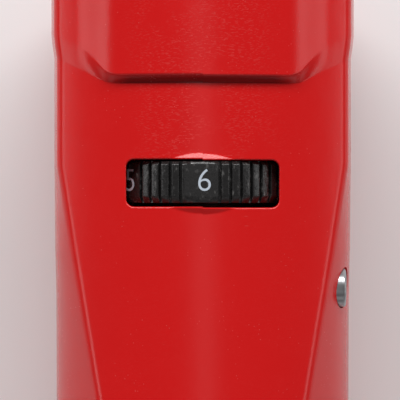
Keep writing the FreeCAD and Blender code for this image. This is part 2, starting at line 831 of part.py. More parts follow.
def switch_body():
    x, z = switch_half
    lip = 1.0
    case = block(-x, x, body_rear - switch_depth, body_rear, switch_rise - z, switch_rise + z)
    bezel = block(-x - lip, x + lip, body_rear, body_rear + bezel_thickness, switch_rise - z - lip,
                  switch_rise + z + lip)
    inner_x, inner_z = x - switch_wall, rocker_half_length + 0.8
    well = block(-inner_x, inner_x, body_rear - 4.5, body_rear + 9, switch_rise - inner_z,
                 switch_rise + inner_z)
    axle = pin_x(1.1 + running, -x + 0.4, x - 0.4, body_rear - 1.0, switch_rise)
    tabs = []
    for z in (-4.0, 0.0, 4.0):
        tabs.append(block(-3.0, 3.0, body_rear - switch_depth - 4.0, body_rear - switch_depth,
                          switch_rise + z - 0.4, switch_rise + z + 0.4))
    return joined([case, bezel] + tabs).cut([well, axle])


def power_rocker():
    """Rocker in its off position, with its upper end pushed out."""
    x, length = switch_half[0] - switch_wall - 0.4, rocker_half_length
    y = body_rear - 1.0
    outline = [(y - 1.4, -length + 0.5), (y + 2.9, -length), (y + 2.0, 0), (y + 2.9, length),
               (y - 1.4, length - 0.5), (y - 2.6, 0)]
    paddle = prism_x([(a, switch_rise + b) for a, b in outline], -x, x)
    axle = pin_x(1.1, -x - 0.9, x + 0.9, y, switch_rise)
    rocker = joined([paddle, axle])
    rocker.rotate(V(0, y, switch_rise), X_AXIS, -rocker_tilt)
    return rocker


def plate_recess():
    x, y = plate_half
    centre = core_front + core_length / 2
    return block(-y, y, centre - x, centre + x, belly_z, belly_z + plate_thickness)


def housing_screws():
    screws = []
    for y, z in SCREWS:
        seat = skin_x(y, z) + screw_head_proud - screw_head_height
        screw = joined([pin_x(screw_radius, -screw_reach, seat + 0.5, y, z),
                        pin_x(screw_head_radius, seat, seat + screw_head_height, y, z)])
        socket = [block(seat + 0.9, 60, y - 1.5, y + 1.5, z - 0.35, z + 0.35),
                  block(seat + 0.9, 60, y - 0.35, y + 0.35, z - 1.5, z + 1.5)]
        screws.append(screw.cut(socket))
    return group(screws)


# --- all parts ----------------------------------------------------------------------------------
def build():
    brush, holder, spring, cap = brush_set()
    choke_core, choke_coil = choke()
    parts = {
        "housing_right": housing(True),
        "housing_left": mirrored(housing(False)),
        "grip_right": grip(True),
        "grip_left": mirrored(grip(False)),
        "nose_collar": nose_collar(),
        "collet": collet(),
        "collet_nut": collet_nut(),
        "spindle": spindle(),
        "lock_disc": lock_disc_ring(),
        "lock_button": lock_button(),
        "lock_pin": lock_pin(),
        "lock_spring": lock_spring(),
        "coupling": coupling(),
        "motor_shaft": rod(motor_shaft_radius, shaft_front, shaft_end),
        "fan": fan(),
        "air_baffle": air_baffle(),
        "stator_core": stator_core(),
        "field_coils": field_coils(),
        "armature_core": armature_core(),
        "armature_windings": armature_windings(),
        "commutator": commutator(),
        "carbon_brushes": group(both_sides(brush)),
        "brush_holders": group(both_sides(holder)),
        "brush_springs": group(both_sides(spring)),
        "brush_caps": group(both_sides(cap)),
        "bearing_sleeve": tube(bearing_radius + sleeve_wall, bearing_radius, rear_bearing,
                               rear_bearing + bearing_width),
        "speed_wheel": speed_wheel(),
        "potentiometer_shaft": potentiometer_shaft(),
        "potentiometer_body": potentiometer(),
        "control_board": control_board(),
        "heat_sink": heat_sink(),
        "triac": triac(),
        "capacitor": capacitor(),
        "choke_core": choke_core,
        "choke_coil": group(choke_coil),
        "resistors": group(resistors()),
        "cable_gland": cable_gland(),
        "switch_body": switch_body(),
        "power_rocker": power_rocker(),
        "rating_plate": plate_recess(),
        "housing_screws": housing_screws(),
    }
    for name, y, bore in BEARINGS:
        outer, inner, balls = bearing_parts(y, bore)
        parts[name + "_outer"] = outer
        parts[name + "_inner"] = inner
        parts[name + "_balls"] = group(balls)
    return parts


os.makedirs("parts", exist_ok=True)
for node, shape in build().items():
    shape.exportStep("parts/" + node + ".step")
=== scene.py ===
"""Looks of a hand-held rotary grinder with a thumbwheel speed selector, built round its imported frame.

Lengths inside the mesh builders are millimetres in the frame's axes: +Y along the tool to its rear,
+X to its right and +Z up through the panel. They turn into metres when a mesh is made.
"""
import json
import math

import bmesh
import bpy
from bpy.props import FloatProperty, FloatVectorProperty, IntProperty, PointerProperty
from mathutils import Matrix, Vector


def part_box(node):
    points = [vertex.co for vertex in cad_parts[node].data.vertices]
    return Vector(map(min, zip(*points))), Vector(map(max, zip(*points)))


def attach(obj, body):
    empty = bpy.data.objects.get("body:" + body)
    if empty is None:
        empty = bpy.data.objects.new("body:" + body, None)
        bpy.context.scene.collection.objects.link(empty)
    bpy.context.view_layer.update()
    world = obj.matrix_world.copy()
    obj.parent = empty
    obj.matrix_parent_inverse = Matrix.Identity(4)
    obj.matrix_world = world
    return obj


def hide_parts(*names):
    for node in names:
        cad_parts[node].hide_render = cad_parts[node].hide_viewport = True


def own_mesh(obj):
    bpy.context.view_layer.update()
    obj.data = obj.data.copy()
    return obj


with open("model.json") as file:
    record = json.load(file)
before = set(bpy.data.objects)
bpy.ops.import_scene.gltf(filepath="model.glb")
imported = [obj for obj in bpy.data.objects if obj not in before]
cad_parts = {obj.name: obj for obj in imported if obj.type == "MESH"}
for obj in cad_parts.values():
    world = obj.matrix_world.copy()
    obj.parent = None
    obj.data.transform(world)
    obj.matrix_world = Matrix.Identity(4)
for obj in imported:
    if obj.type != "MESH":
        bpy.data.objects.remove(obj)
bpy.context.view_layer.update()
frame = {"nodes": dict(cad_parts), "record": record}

bl_info = {
    "name": "Rotary Grinder Looks",
    "version": (1, 0, 0),
    "blender": (4, 5, 0),
    "location": "3D View > Sidebar > Grinder",
    "description": "Builds the shells, grips, speed wheel, fasteners and studio of a rotary grinder",
    "category": "Object",
}


# --- places that come from the frame ------------------------------------------------------------
def box_mm(node):
    """Lowest and highest corner of a frame node, in millimetres."""
    low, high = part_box(node)
    return Vector(low) * 1000.0, Vector(high) * 1000.0


COLLAR, WHEEL_BOX, SHELL_BOX = box_mm("nose_collar"), box_mm("speed_wheel"), box_mm("housing_left")
GRIP_BOX, BUTTON_BOX, FAN_BOX = box_mm("grip_right"), box_mm("lock_button"), box_mm("fan")
SPINDLE_BEARING, COUPLING = box_mm("rear_spindle_bearing_outer"), box_mm("coupling")
CORE, SWITCH, GLAND = box_mm("stator_core"), box_mm("switch_body"), box_mm("cable_gland")
BOARD, CAP_BOX, PLATE = box_mm("control_board"), box_mm("brush_caps"), box_mm("rating_plate")

SHELL_FRONT = COLLAR[1].y + 1.0
NECK_FRONT, NECK_RADIUS, NECK_BORE = SHELL_BOX[0].y, 9.0, 5.2
SHELL_REAR = SHELL_BOX[1].y
DIAL_Y = (WHEEL_BOX[0].y + WHEEL_BOX[1].y) / 2
WHEEL_FRONT, WHEEL_REAR = WHEEL_BOX[0].y, WHEEL_BOX[1].y
NECK_END = min(SHELL_FRONT + 3.0, box_mm("front_spindle_bearing_inner")[0].y - 0.05)
BUTTON_Y, BUTTON_TRAVEL = (BUTTON_BOX[0].y + BUTTON_BOX[1].y) / 2, 2.6
BUTTON_RADIUS = (BUTTON_BOX[1].x - BUTTON_BOX[0].x) / 2
SPRING_BOX = box_mm("lock_spring")
BELLY_Z = SHELL_BOX[0].z
WHEEL_RADIUS = (WHEEL_BOX[1].x - WHEEL_BOX[0].x) / 2 + 0.005
CUT_CLEARANCE = 0.08
OUTSIDE = 30        # distance from the spindle axis that is beyond the housing's sides


# --- what a user would change -------------------------------------------------------------------
def length(name, default, text):
    """A length in millimetres."""
    return FloatProperty(name=name, default=default, min=0.0, description=text + ", in millimetres")


def colour(name, default, text):
    return FloatVectorProperty(name=name, default=default, subtype="COLOR", size=3, min=0.0, max=1.0,
                               description=text)


class ShellSettings(bpy.types.PropertyGroup):
    half_width: length("Half width", 20.0, "Half width of the body over the motor")
    top: length("Top", 21.0, "Height of the panel above the spindle axis")
    bottom: length("Bottom", 20.6, "Depth of the underside below the spindle axis, before it is flattened")
    nose_radius: length("Nose radius", 12.0, "Radius of the shell behind the nose collar")
    wall: length("Wall", 2.0, "Wall thickness of the shell")
    panel_arc: length("Panel arc", 35.0, "Radius of the crown across the top panel")
    crease: length("Crease", 18.7, "Half width of the top panel at the speed wheel")
    crease_round: length("Crease rounding", 0.8, "Length of the rounding along the panel's crease")
    hood_rise: length("Hood rise", 1.2, "Step up from the panel to the hood")
    hood_edge: length("Hood edge", 1.2, "Radius of the hood's front edge")
    window_rim: length("Window rim", 0.22, "Radius of the rim round the wheel's window")


class WheelSettings(bpy.types.PropertyGroup):
    groove_depth: length("Groove depth", 0.6, "Depth of the grooves between the ridges")
    groove_width: length("Groove width", 0.42, "Width of the grooves between the ridges")
    digit_height: length("Digit height", 2.85, "Height of the digits")
    digits: IntProperty(name="Digits", default=6, min=1, max=8, description="Number of digits on the wheel")


class FastenerSettings(bpy.types.PropertyGroup):
    head_radius: length("Head radius", 2.6, "Radius of the screw heads")
    head_proud: length("Head height", 0.3, "Height of the screw heads above the shell")
    length: length("Length", 20.0, "Length of the screws below the shell's surface")


class NoseSettings(bpy.types.PropertyGroup):
    ribs: IntProperty(name="Ribs", default=24, min=3, max=72, description="Number of ribs round the collar")
    rib_height: length("Rib height", 0.4, "Height of the ribs above the collar")
    rib_width: length("Rib width", 1.3, "Width of the ribs")


class GripSettings(bpy.types.PropertyGroup):
    thickness: length("Thickness", 1.6, "Height of the grips above the shell")
    end_round: length("End rounding", 1.4, "Length of the rounding at the ends of the grips")
    groove_pitch: length("Groove pitch", 3.3, "Distance between the grooves in the grips' sides")
    groove_depth: length("Groove depth", 0.6, "Depth of the grooves in the grips' sides")


class FinishSettings(bpy.types.PropertyGroup):
    red: colour("Shell", (0.600, 0.008, 0.008), "Colour of the moulded shell")
    black: colour("Black plastic", (0.012, 0.011, 0.011), "Colour of the black mouldings")
    digit: colour("Digits", (0.46, 0.51, 0.58), "Colour of the digits on the wheel")


class StudioSettings(bpy.types.PropertyGroup):
    distance: length("Camera distance", 350.0, "Distance of the camera above the panel")
    frame_width: length("Frame width", 51.9, "Width of the camera's view at the panel")
    light: FloatProperty(name="Light", default=1.0, min=0.0, description="Strength of all the lights")


GROUPS = {
    "grinder_shell": ShellSettings, "grinder_wheel": WheelSettings,
    "grinder_fastener": FastenerSettings, "grinder_nose": NoseSettings,
    "grinder_grip": GripSettings, "grinder_finish": FinishSettings,
    "grinder_studio": StudioSettings,
}


# --- meshes -------------------------------------------------------------------------------------
def between(low, high, share):
    return low + (high - low) * share


def smooth(share):
    share = min(1.0, max(0.0, share))
    return share * share * (3 - 2 * share)


def add_object(name, vertices, faces):
    """New object at the origin from points in millimetres."""
    mesh = bpy.data.meshes.new(name)
    mesh.from_pydata([Vector(v) * 0.001 for v in vertices], [], faces)
    mesh.validate()
    return link(name, mesh)


def link(name, data):
    """New object in the scene for a mesh, curve, light or camera."""
    piece = bpy.data.objects.new(name, data)
    bpy.context.scene.collection.objects.link(piece)
    return piece


def tidy_normals(piece, sharp_angle=32.0):
    """Face outwards, shade smoothly and keep the edges above the angle sharp."""
    form = bmesh.new()
    form.from_mesh(piece.data)
    bmesh.ops.remove_doubles(form, verts=form.verts, dist=1e-7)
    bmesh.ops.dissolve_degenerate(form, edges=form.edges, dist=1e-7)
    bmesh.ops.recalc_face_normals(form, faces=form.faces)
    for face in form.faces:
        face.smooth = True
    for edge in form.edges:
        edge.smooth = len(edge.link_faces) == 2 and edge.calc_face_angle(0.0) < math.radians(sharp_angle)
    form.to_mesh(piece.data)
    form.free()
    return piece


def grid_faces(rows, columns, close_columns=False):
    """Quads between the points of a grid stored row by row."""
    faces = []
    for i in range(rows - 1):
        for j in range(columns if close_columns else columns - 1):
            a = i * columns + j
            b = i * columns + (j + 1) % columns
            faces.append((a, b, b + columns, a + columns))
    return faces


def end_caps(rows, columns):
    """The first and last row of a grid, each closed by one face."""
    last = (rows - 1) * columns
    return [tuple(range(columns)), tuple(range(last, last + columns))[::-1]]


def ring_faces(rings, count):
    """Quads of a closed ring of closed loops."""
    faces = []
    for i in range(rings):
        for j in range(count):
            a, b = i * count + j, i * count + (j + 1) % count
            c, d = ((i + 1) % rings) * count + j, ((i + 1) % rings) * count + (j + 1) % count
            faces.append((a, b, d, c))
    return faces


def lathe(name, profile, steps=96, axis="Y"):
    """Solid of revolution about an axis of the frame, from a closed loop of (radius, station) points."""
    points = []
    for i in range(steps):
        angle = 2 * math.pi * i / steps
        for radius, along in profile:
            a, b = radius * math.cos(angle), radius * math.sin(angle)
            points.append({"X": (along, a, b), "Y": (a, along, b), "Z": (a, b, along)}[axis])
    return tidy_normals(add_object(name, points, ring_faces(steps, len(profile))))


def arc_points(radius, station, turn, start, end, steps=6):
    """Points of a quarter round, as (radius, station) about a centre given the same way."""
    angles = [math.radians(start + (end - start) * k / steps) for k in range(steps + 1)]
    return [(radius + turn * math.cos(a), station + turn * math.sin(a)) for a in angles]


def box_mesh(low, high):
    """Points and faces of a box, used as a cutter."""
    points = [(x, y, z) for x in (low[0], high[0]) for y in (low[1], high[1])
              for z in (low[2], high[2])]
    faces = [(0, 1, 3, 2), (4, 6, 7, 5), (0, 4, 5, 1), (2, 3, 7, 6), (0, 2, 6, 4), (1, 5, 7, 3)]
    return points, faces


def bar_mesh(radius, start, end, steps=50):
    """Points and faces of a round bar between two points, used as a cutter."""
    start, end = Vector(start), Vector(end)
    turn = (end - start).to_track_quat("Z", "Y").to_matrix()
    points = []
    for centre in (start, end):
        for i in range(steps):
            angle = 2 * math.pi * i / steps
            points.append(centre + turn @ Vector((radius * math.cos(angle), radius * math.sin(angle), 0)))
    faces = grid_faces(2, steps, close_columns=True)
    return points, faces + [tuple(range(steps))[::-1], tuple(range(steps, 2 * steps))]


def merged(parts):
    """One list of points and faces from several."""
    points, faces = [], []
    for more_points, more_faces in parts:
        offset = len(points)
        points += list(more_points)
        faces += [tuple(i + offset for i in face) for face in more_faces]
    return points, faces


def cut(piece, cutter):
    """Take the cutter's points and faces out of a piece."""
    tool = add_object("cutter", *cutter)
    form = bmesh.new()
    form.from_mesh(tool.data)
    bmesh.ops.recalc_face_normals(form, faces=form.faces)
    form.to_mesh(tool.data)
    form.free()
    modifier = piece.modifiers.new("cut", "BOOLEAN")
    modifier.operation, modifier.solver, modifier.object = "DIFFERENCE", "EXACT", tool
    apply_modifiers(piece)
    bpy.data.objects.remove(tool)
    return piece


def join(piece, other):
    """Add another object's mesh to a piece and drop the object."""
    form = bmesh.new()
    form.from_mesh(piece.data)
    form.from_mesh(other.data)
    form.to_mesh(piece.data)
    form.free()
    bpy.data.objects.remove(other)
    return piece


def apply_modifiers(piece):
    """Make the result of a piece's modifiers its mesh."""
    evaluated = piece.evaluated_get(bpy.context.evaluated_depsgraph_get())
    mesh = bpy.data.meshes.new_from_object(evaluated)
    piece.modifiers.clear()
    piece.data = mesh


# --- the housing's surface ----------------------------------------------------------------------
WINDOW_HALF, WINDOW_FRONT_GAP, WINDOW_REAR_GAP, WINDOW_CORNER = 10.0, 0.5, 0.28, 1.05
WINDOW_REACH = 6.5      # how far the window's cutter goes above and below the panel
BOSS_BELOW_WHEEL, BOSS_DROP, BOSS_LENGTH, BOSS_BLEND, BOSS_REACH = 0.12, 0.62, 1.3, 0.05, 4
HOOD_SETBACK, HOOD_FLAT, HOOD_SWEEP, HOOD_SIDE_RISE, HOOD_LOW_SIDE = 13.0, 12.6, 26.0, 0.4, 0.25
HOOD_FADE, HOOD_FADE_LEAD, HOOD_SOFT, HOOD_PULL = 5.5, 1.8, 2.6, 12.0
END_ROUND, REAR_WALL, FRONT_WALL = 3.5, 2.6, 2.0
CREASE_TAPER, CREASE_ANGLE, CREASE_INSET = 0.176, 36.0, 0.9
LOWER_SQUARENESS, FLANK_REACH, FLANK_LOW, CREASE_EASE = 0.62, 0.36, 0.45, 0.6
NOSE_CREASE, NOSE_DROP, NOSE_SLOPE = 0.6, 0.2, 0.008    # shape of the section where the nose begins
ROW_MARGIN = 0.9
OUTER_COLUMNS, HOLLOW_COLUMNS, HOLLOW_ROWS = (72, 7, 26, 34), (14, 3, 10, 14), 60
NO_BOSS = -100.0        # height that is below everything
PARTING_MISMATCH = 0.12
HOOD_FRONT = DIAL_Y + HOOD_SETBACK
CREASE_STARTS, CREASE_FULL = COUPLING[0].y, CORE[1].y - 4.0

# share of the way from the nose's girth to the body's, at stations along the tool
GIRTH = [
    (SHELL_FRONT, 0.0), (BUTTON_Y, 0.12), (SPINDLE_BEARING[0].y, 0.32), (COUPLING[0].y + 7.0, 0.62),
    (FAN_BOX[1].y, 0.92), (CORE[0].y + 19.6, 1.0), (DIAL_Y, 1.0),
]


def girth_at(y):
    """Smooth interpolation of the girth between its stations."""
    if y <= GIRTH[0][0]:
        return 0.0
    for i in range(len(GIRTH) - 1):
        (y0, g0), (y1, g1) = GIRTH[i], GIRTH[i + 1]
        if y <= y1:
            before = GIRTH[max(0, i - 1)]
            after = GIRTH[min(len(GIRTH) - 1, i + 2)]
            m0 = (g1 - before[1]) / (y1 - before[0]) if i else NOSE_SLOPE
            m1 = (after[1] - g0) / (after[0] - y0)
            m1 = 0.0 if g1 >= 1.0 else m1
            m0 = 0.0 if g0 >= 1.0 else m0
            run, t = y1 - y0, (y - y0) / (y1 - y0)
            return ((2 * t ** 3 - 3 * t ** 2 + 1) * g0 + (t ** 3 - 2 * t ** 2 + t) * run * m0
                    + (3 * t ** 2 - 2 * t ** 3) * g1 + (t ** 3 - t ** 2) * run * m1)
    return 1.0


def cubic(poles, t):
    """Point of a cubic Bezier arc."""
    a, b, c, d = poles
    s = 1 - t
    return a * (s ** 3) + b * (3 * s * s * t) + c * (3 * s * t * t) + d * (t ** 3)


def section_poles(y, grow, rise, side_rise):
    """Four cubic arcs of the right half's outline at one station, as (x, z) poles."""
    shell = bpy.context.scene.grinder_shell
    girth = girth_at(y)
    plain_width = between(shell.nose_radius, shell.half_width, girth)
    width = plain_width + grow + side_rise
    top = between(shell.nose_radius, shell.top, girth) + grow + rise
    depth = between(shell.nose_radius, shell.bottom, girth) + grow
    sharp = min(1.0, max(0.0, (y - CREASE_STARTS) / (CREASE_FULL - CREASE_STARTS)))
    tapered = min(shell.crease + CREASE_TAPER * (y - DIAL_Y), plain_width - CREASE_INSET)
    crease = between(NOSE_CREASE * plain_width, tapered, sharp) + 0.5 * grow + side_rise
    drop = between(NOSE_DROP * (top - grow), crease ** 2 / (2 * shell.panel_arc), sharp)
    slope = math.atan2(2 * drop, crease) + math.radians(CREASE_ANGLE * sharp)
    corner = Vector((crease, top - drop))
    reach = math.hypot(width - crease, corner.y) * FLANK_REACH
    lean = corner + Vector((math.cos(slope), -math.sin(slope))) * reach
    lean.x = min(lean.x, width)
    edge = crease - shell.crease_round
    near = Vector((edge, top - drop * (edge / crease) ** 2))
    far = corner + (lean - corner).normalized() * shell.crease_round
    crown = (Vector((0, top)), Vector((edge / 3, top)),
             Vector((edge * 2 / 3, between(top, near.y, 1 / 3))), near)
    turn = (near, near + (corner - near) * CREASE_EASE, far + (corner - far) * CREASE_EASE, far)
    side = (far, lean, Vector((width, corner.y * FLANK_LOW)), Vector((width, 0)))
    low = LOWER_SQUARENESS
    under = (Vector((width, 0)), Vector((width, -low * depth)),
             Vector((low * width, -depth)), Vector((0, -depth)))
    return crown, turn, side, under


def column_stops(counts):
    """Arc number and share along it for each column of the half section, without repeats."""
    stops = []
    for arc, count in enumerate(counts):
        stops += [(arc, k / count) for k in range(count)]
    return stops + [(len(counts) - 1, 1.0)]


def hood_line(x):
    """Station of the hood's front edge at a distance from the parting plane."""
    return HOOD_FRONT + max(0.0, abs(x) - HOOD_FLAT) * math.tan(math.radians(HOOD_SWEEP))


def window_ends(shift):
    """Front and rear edge of the wheel's window."""
    return WHEEL_FRONT - WINDOW_FRONT_GAP + shift, WHEEL_REAR + WINDOW_REAR_GAP + shift


def boss_height(x, y, shift):
    """Height of the low ring round the window, of the same centre as the wheel."""
    radius = (WHEEL_BOX[1].z - WHEEL_BOX[0].z) / 2 + 0.01
    centre = (WHEEL_BOX[1].z + WHEEL_BOX[0].z) / 2
    y0, y1 = window_ends(shift)
    away = max(0.0, y0 - y, y - y1)
    if away > BOSS_REACH or abs(x) > WINDOW_HALF:
        return NO_BOSS
    crest = radius - BOSS_BELOW_WHEEL - BOSS_DROP * away / BOSS_LENGTH
    return centre + math.sqrt(crest ** 2 - x ** 2)


def soft_max(a, b, blend):
    """The larger of two heights, with a rounded change from one to the other."""
    gap = max(0.0, blend - abs(a - b)) / blend
    return max(a, b) + gap * gap * blend / 4


def shell_rows(shift):
    """Stations of the rows, each with how far the hood has risen there."""
    edge = bpy.context.scene.grinder_shell.hood_edge
    y0, y1 = window_ends(shift)
    rows = []

    def run(start, end, step):
        count = max(1, round((end - start) / step))
        rows.extend((start + (end - start) * k / count, 0.0) for k in range(count))

    run(SHELL_FRONT, y0 - 20, 1.4)
    run(y0 - 20, y0 - BOSS_LENGTH - ROW_MARGIN, 0.5)
    run(y0 - BOSS_LENGTH - ROW_MARGIN, y0 + 0.3, 0.1)
    run(y0 + 0.3, y1 - 0.3, 0.6)
    run(y1 - 0.3, y1 + BOSS_LENGTH + ROW_MARGIN, 0.1)
    front = HOOD_FRONT + shift
    run(y1 + BOSS_LENGTH + ROW_MARGIN, front, 0.4)
    rows.append((front, 0.0))
    for k in range(15):
        share = k / 14
        rows.append((front + 0.02 + (edge - 0.02) * share, 1 - max(0.0, 1 - share / 0.92) ** 1.35))
    start = front + edge + 0.4
    end = SHELL_REAR - END_ROUND
    rows += [(start + (end - start) * k / 24, 1.0) for k in range(25)]
    rows += [(end + END_ROUND * math.sin(math.radians(9 * k)), 1.0) for k in range(1, 11)]
    return rows


def surface_point(arc, share, row_y, risen, shift, grow=0.0, lowest=BELLY_Z):
    """Point of the housing's right half on one column and row.

    Rows near the hood bend with its front edge, and the hood's sides rise less than its middle.
    """
    shell = bpy.context.scene.grinder_shell
    front = HOOD_FRONT + shift
    follow = 1 - smooth(abs(row_y - front) / HOOD_PULL)
    inset = 0.0
    if row_y > SHELL_REAR - END_ROUND:
        ahead = (row_y - (SHELL_REAR - END_ROUND)) / END_ROUND
        inset = END_ROUND * (1 - math.sqrt(max(0.0, 1 - ahead * ahead)))
    plain = section_poles(row_y, grow - inset, 0, 0)
    x = cubic(plain[arc], share).x
    fade = smooth((abs(x) - HOOD_FLAT + HOOD_FADE_LEAD) / HOOD_FADE)
    past_edge = min(1.0, max(0.0, (row_y - front) / shell.hood_edge))
    y = row_y + follow * (hood_line(x) - HOOD_FRONT + past_edge * fade * HOOD_SOFT)
    lifted = section_poles(y, grow - inset, shell.hood_rise * risen, HOOD_SIDE_RISE * risen)
    point = cubic(lifted[arc], share)
    if risen and arc < 3:
        held = 1.0 if arc < 2 else max(0.0, point.y / lifted[2][0].y)
        point.y -= held * fade * (shell.hood_rise - HOOD_LOW_SIDE) * risen
    z = point.y
    if arc == 0 and grow == 0.0:
        z = soft_max(z, boss_height(point.x, y, shift), BOSS_BLEND)
    return Vector((point.x, y, max(z, lowest)))


def half_solid(rows, counts, shift, grow, plane_x, lowest=BELLY_Z):
    """Closed solid of the right half, from the parting plane outwards."""
    stops = column_stops(counts)
    points = []
    for row_y, risen in rows:
        line = [surface_point(arc, share, row_y, risen, shift, grow, lowest)
                for arc, share in stops]
        line[0].x = line[-1].x = plane_x
        points += line
    columns, count = len(stops), len(rows)
    faces = grid_faces(count, columns) + end_caps(count, columns)
    top = [i * columns for i in range(count)]
    bottom = [i * columns + columns - 1 for i in range(count)]
    faces += [(top[i], top[i + 1], bottom[i + 1], bottom[i]) for i in range(count - 1)]
    return points, faces


def window_cutter(shift):
    """Opening for the wheel, flared at the top into a rounded rim that follows the surface."""
    shell = bpy.context.scene.grinder_shell
    rim = shell.window_rim
    y0, y1 = window_ends(shift)
    corner_steps, side_steps, short_side = 8, 64, 2

    def outline(grow):
        loop = []
        radius = WINDOW_CORNER + grow
        for cx, cy, start in ((1, 1, 0), (-1, 1, 90), (-1, -1, 180), (1, -1, 270)):
            middle_x = cx * (WINDOW_HALF - WINDOW_CORNER)
            middle_y = y1 - WINDOW_CORNER if cy > 0 else y0 + WINDOW_CORNER
            for k in range(corner_steps + 1):
                angle = math.radians(start + 90 * k / corner_steps)
                loop.append((middle_x + radius * math.cos(angle), middle_y + radius * math.sin(angle)))
        # extra points along the long sides, so that the rim follows the boss
        full = []
        for i, (x, y) in enumerate(loop):
            full.append((x, y))
            run = loop[(i + 1) % len(loop)][0] - x
            if abs(run) > short_side:
                full += [(x + run * k / side_steps, y) for k in range(1, side_steps)]
        return full

    def height(x, y):
        panel = shell.top - x * x / (2 * shell.panel_arc)
        return soft_max(panel, boss_height(x, y, shift), BOSS_BLEND)

    rings = [(0.0, None)]
    rings += [(rim * (1 - math.cos(math.radians(a))), rim * (1 - math.sin(math.radians(a))))
              for a in (0, 20, 40, 60, 78)]
    rings += [(rim * 1.05, -0.1), (rim * 1.05, "crown")]
    flat = {None: shell.top - WINDOW_REACH, "crown": shell.top + WINDOW_REACH}
    points = []
    for grow, below in rings:
        for x, y in outline(grow):
            points.append((x, y, flat[below] if below in flat else height(x, y) - below))
    columns = len(outline(0.0))
    faces = grid_faces(len(rings), columns, close_columns=True)
    faces.append(tuple(range(columns))[::-1])
    last = (len(rings) - 1) * columns
    faces.append(tuple(range(last, last + columns)))
    return points, faces


def mirrored(mesh_data):
    """Points and faces of the left half from those of the right one."""
    points, faces = mesh_data
    return [(-p[0], p[1], p[2]) for p in points], [face[::-1] for face in faces]


# --- finishes -----------------------------------------------------------------------------------
class Value:
    """A shader socket that works in expressions, adding Math nodes."""

    def __init__(self, tree, socket):
        self.tree, self.socket = tree, socket

    def _maths(self, operation, *values):
        return self.tree.node("ShaderNodeMath", {"operation": operation}, values)

    def __add__(self, other):
        return self._maths("ADD", self, other)

    def __sub__(self, other):
        return self._maths("SUBTRACT", self, other)

    def __rsub__(self, other):
        return self._maths("SUBTRACT", other, self)

    def __mul__(self, other):
        return self._maths("MULTIPLY", self, other)

    __radd__, __rmul__ = __add__, __mul__

    def size(self):
        """The value without its sign."""
        return self._maths("ABSOLUTE", self)

    def above(self, edge, width):
        """0 below the edge, 1 above it, with a soft step of that width."""
        low, high = edge - width / 2, edge + width / 2
        return self.tree.node("ShaderNodeMapRange", {"interpolation_type": "SMOOTHSTEP"},
                              {"Value": self, "From Min": low, "From Max": high}, "Result")


class Finish:
    """A material's node tree, ending in one Principled shader."""

    def __init__(self, name, colour, roughness, metallic=0.0, **uniform):
        self.material = bpy.data.materials.new(name)
        self.material.use_nodes = True
        self.material.diffuse_color = (*colour, 1.0)
        self.nodes, self.links = self.material.node_tree.nodes, self.material.node_tree.links
        self.shader = self.nodes["Principled BSDF"]
        self.place = self.node("ShaderNodeTexCoord", {}, {}, "Object")
        self.feed(base_color=(*colour, 1.0), roughness=roughness, metallic=metallic, **uniform)

    def node(self, kind, settings, values, output=0):
        """Add a node, set its settings first and then its inputs; gives the named output."""
        node = self.nodes.new(kind)
        for key, value in settings.items():
            if key == "stops":
                ramp = node.color_ramp
                while len(ramp.elements) < len(value):
                    ramp.elements.new(0.5)
                for element, (position, shade) in zip(ramp.elements, value):
                    element.position, element.color = position, shade
            else:
                setattr(node, key, value)
        pairs = values.items() if isinstance(values, dict) else enumerate(values)
        for key, value in pairs:
            if isinstance(value, Value):
                self.links.new(value.socket, node.inputs[key])
            elif value is not None:
                node.inputs[key].default_value = value
        return Value(self, node.outputs[output])

    def feed(self, **inputs):
        """Set or link the shader's inputs by their names in lower case."""
        for key, value in inputs.items():
            socket = self.shader.inputs[key.replace("_", " ").title().replace("Ior", "IOR")]
            if isinstance(value, Value):
                self.links.new(value.socket, socket)
            else:
                socket.default_value = value

    def place_mm(self, axis):
        """One of the object's own coordinates, in millimetres."""
        return self.node("ShaderNodeSeparateXYZ", {}, [self.place], axis) * 1000.0

    def noise(self, scale, detail=2.0, roughness=0.5, stretch=(1, 1, 1)):
        """Noise over the object's own coordinates, scale in features per metre."""
        place = self.node("ShaderNodeMapping", {}, {"Vector": self.place, "Scale": stretch})
        shape = {"Vector": place, "Scale": scale, "Detail": detail, "Roughness": roughness}
        return self.node("ShaderNodeTexNoise", {}, shape, "Fac")

    def cells(self, scale, stretch=(1, 1, 1)):
        """Distance to the nearest cell centre, for specks and scuffs."""
        place = self.node("ShaderNodeMapping", {}, {"Vector": self.place, "Scale": stretch})
        return self.node("ShaderNodeTexVoronoi", {}, {"Vector": place, "Scale": scale}, "Distance")

    def mix(self, share, first, second):
        """Colour between two others."""
        return self.node("ShaderNodeMix", {"data_type": "RGBA"}, {0: share, 6: first, 7: second}, 2)

    def bump(self, height, distance, strength=1.0):
        """Normal that leans with a height, whose full range is the distance in metres."""
        shape = {"Height": height, "Distance": distance, "Strength": strength}
        return self.node("ShaderNodeBump", {}, shape, "Normal")


def paint(piece, material):
    """Give every face of a piece one material."""
    if piece.material_slots:
        for slot in piece.material_slots:
            slot.link = "OBJECT"
            slot.material = material
    else:
        piece.data.materials.append(material)


def shade(colour, share=1.0):
    """A colour made darker or lighter, with an alpha of 1."""
    return (*[min(1.0, c * share) for c in colour], 1.0)


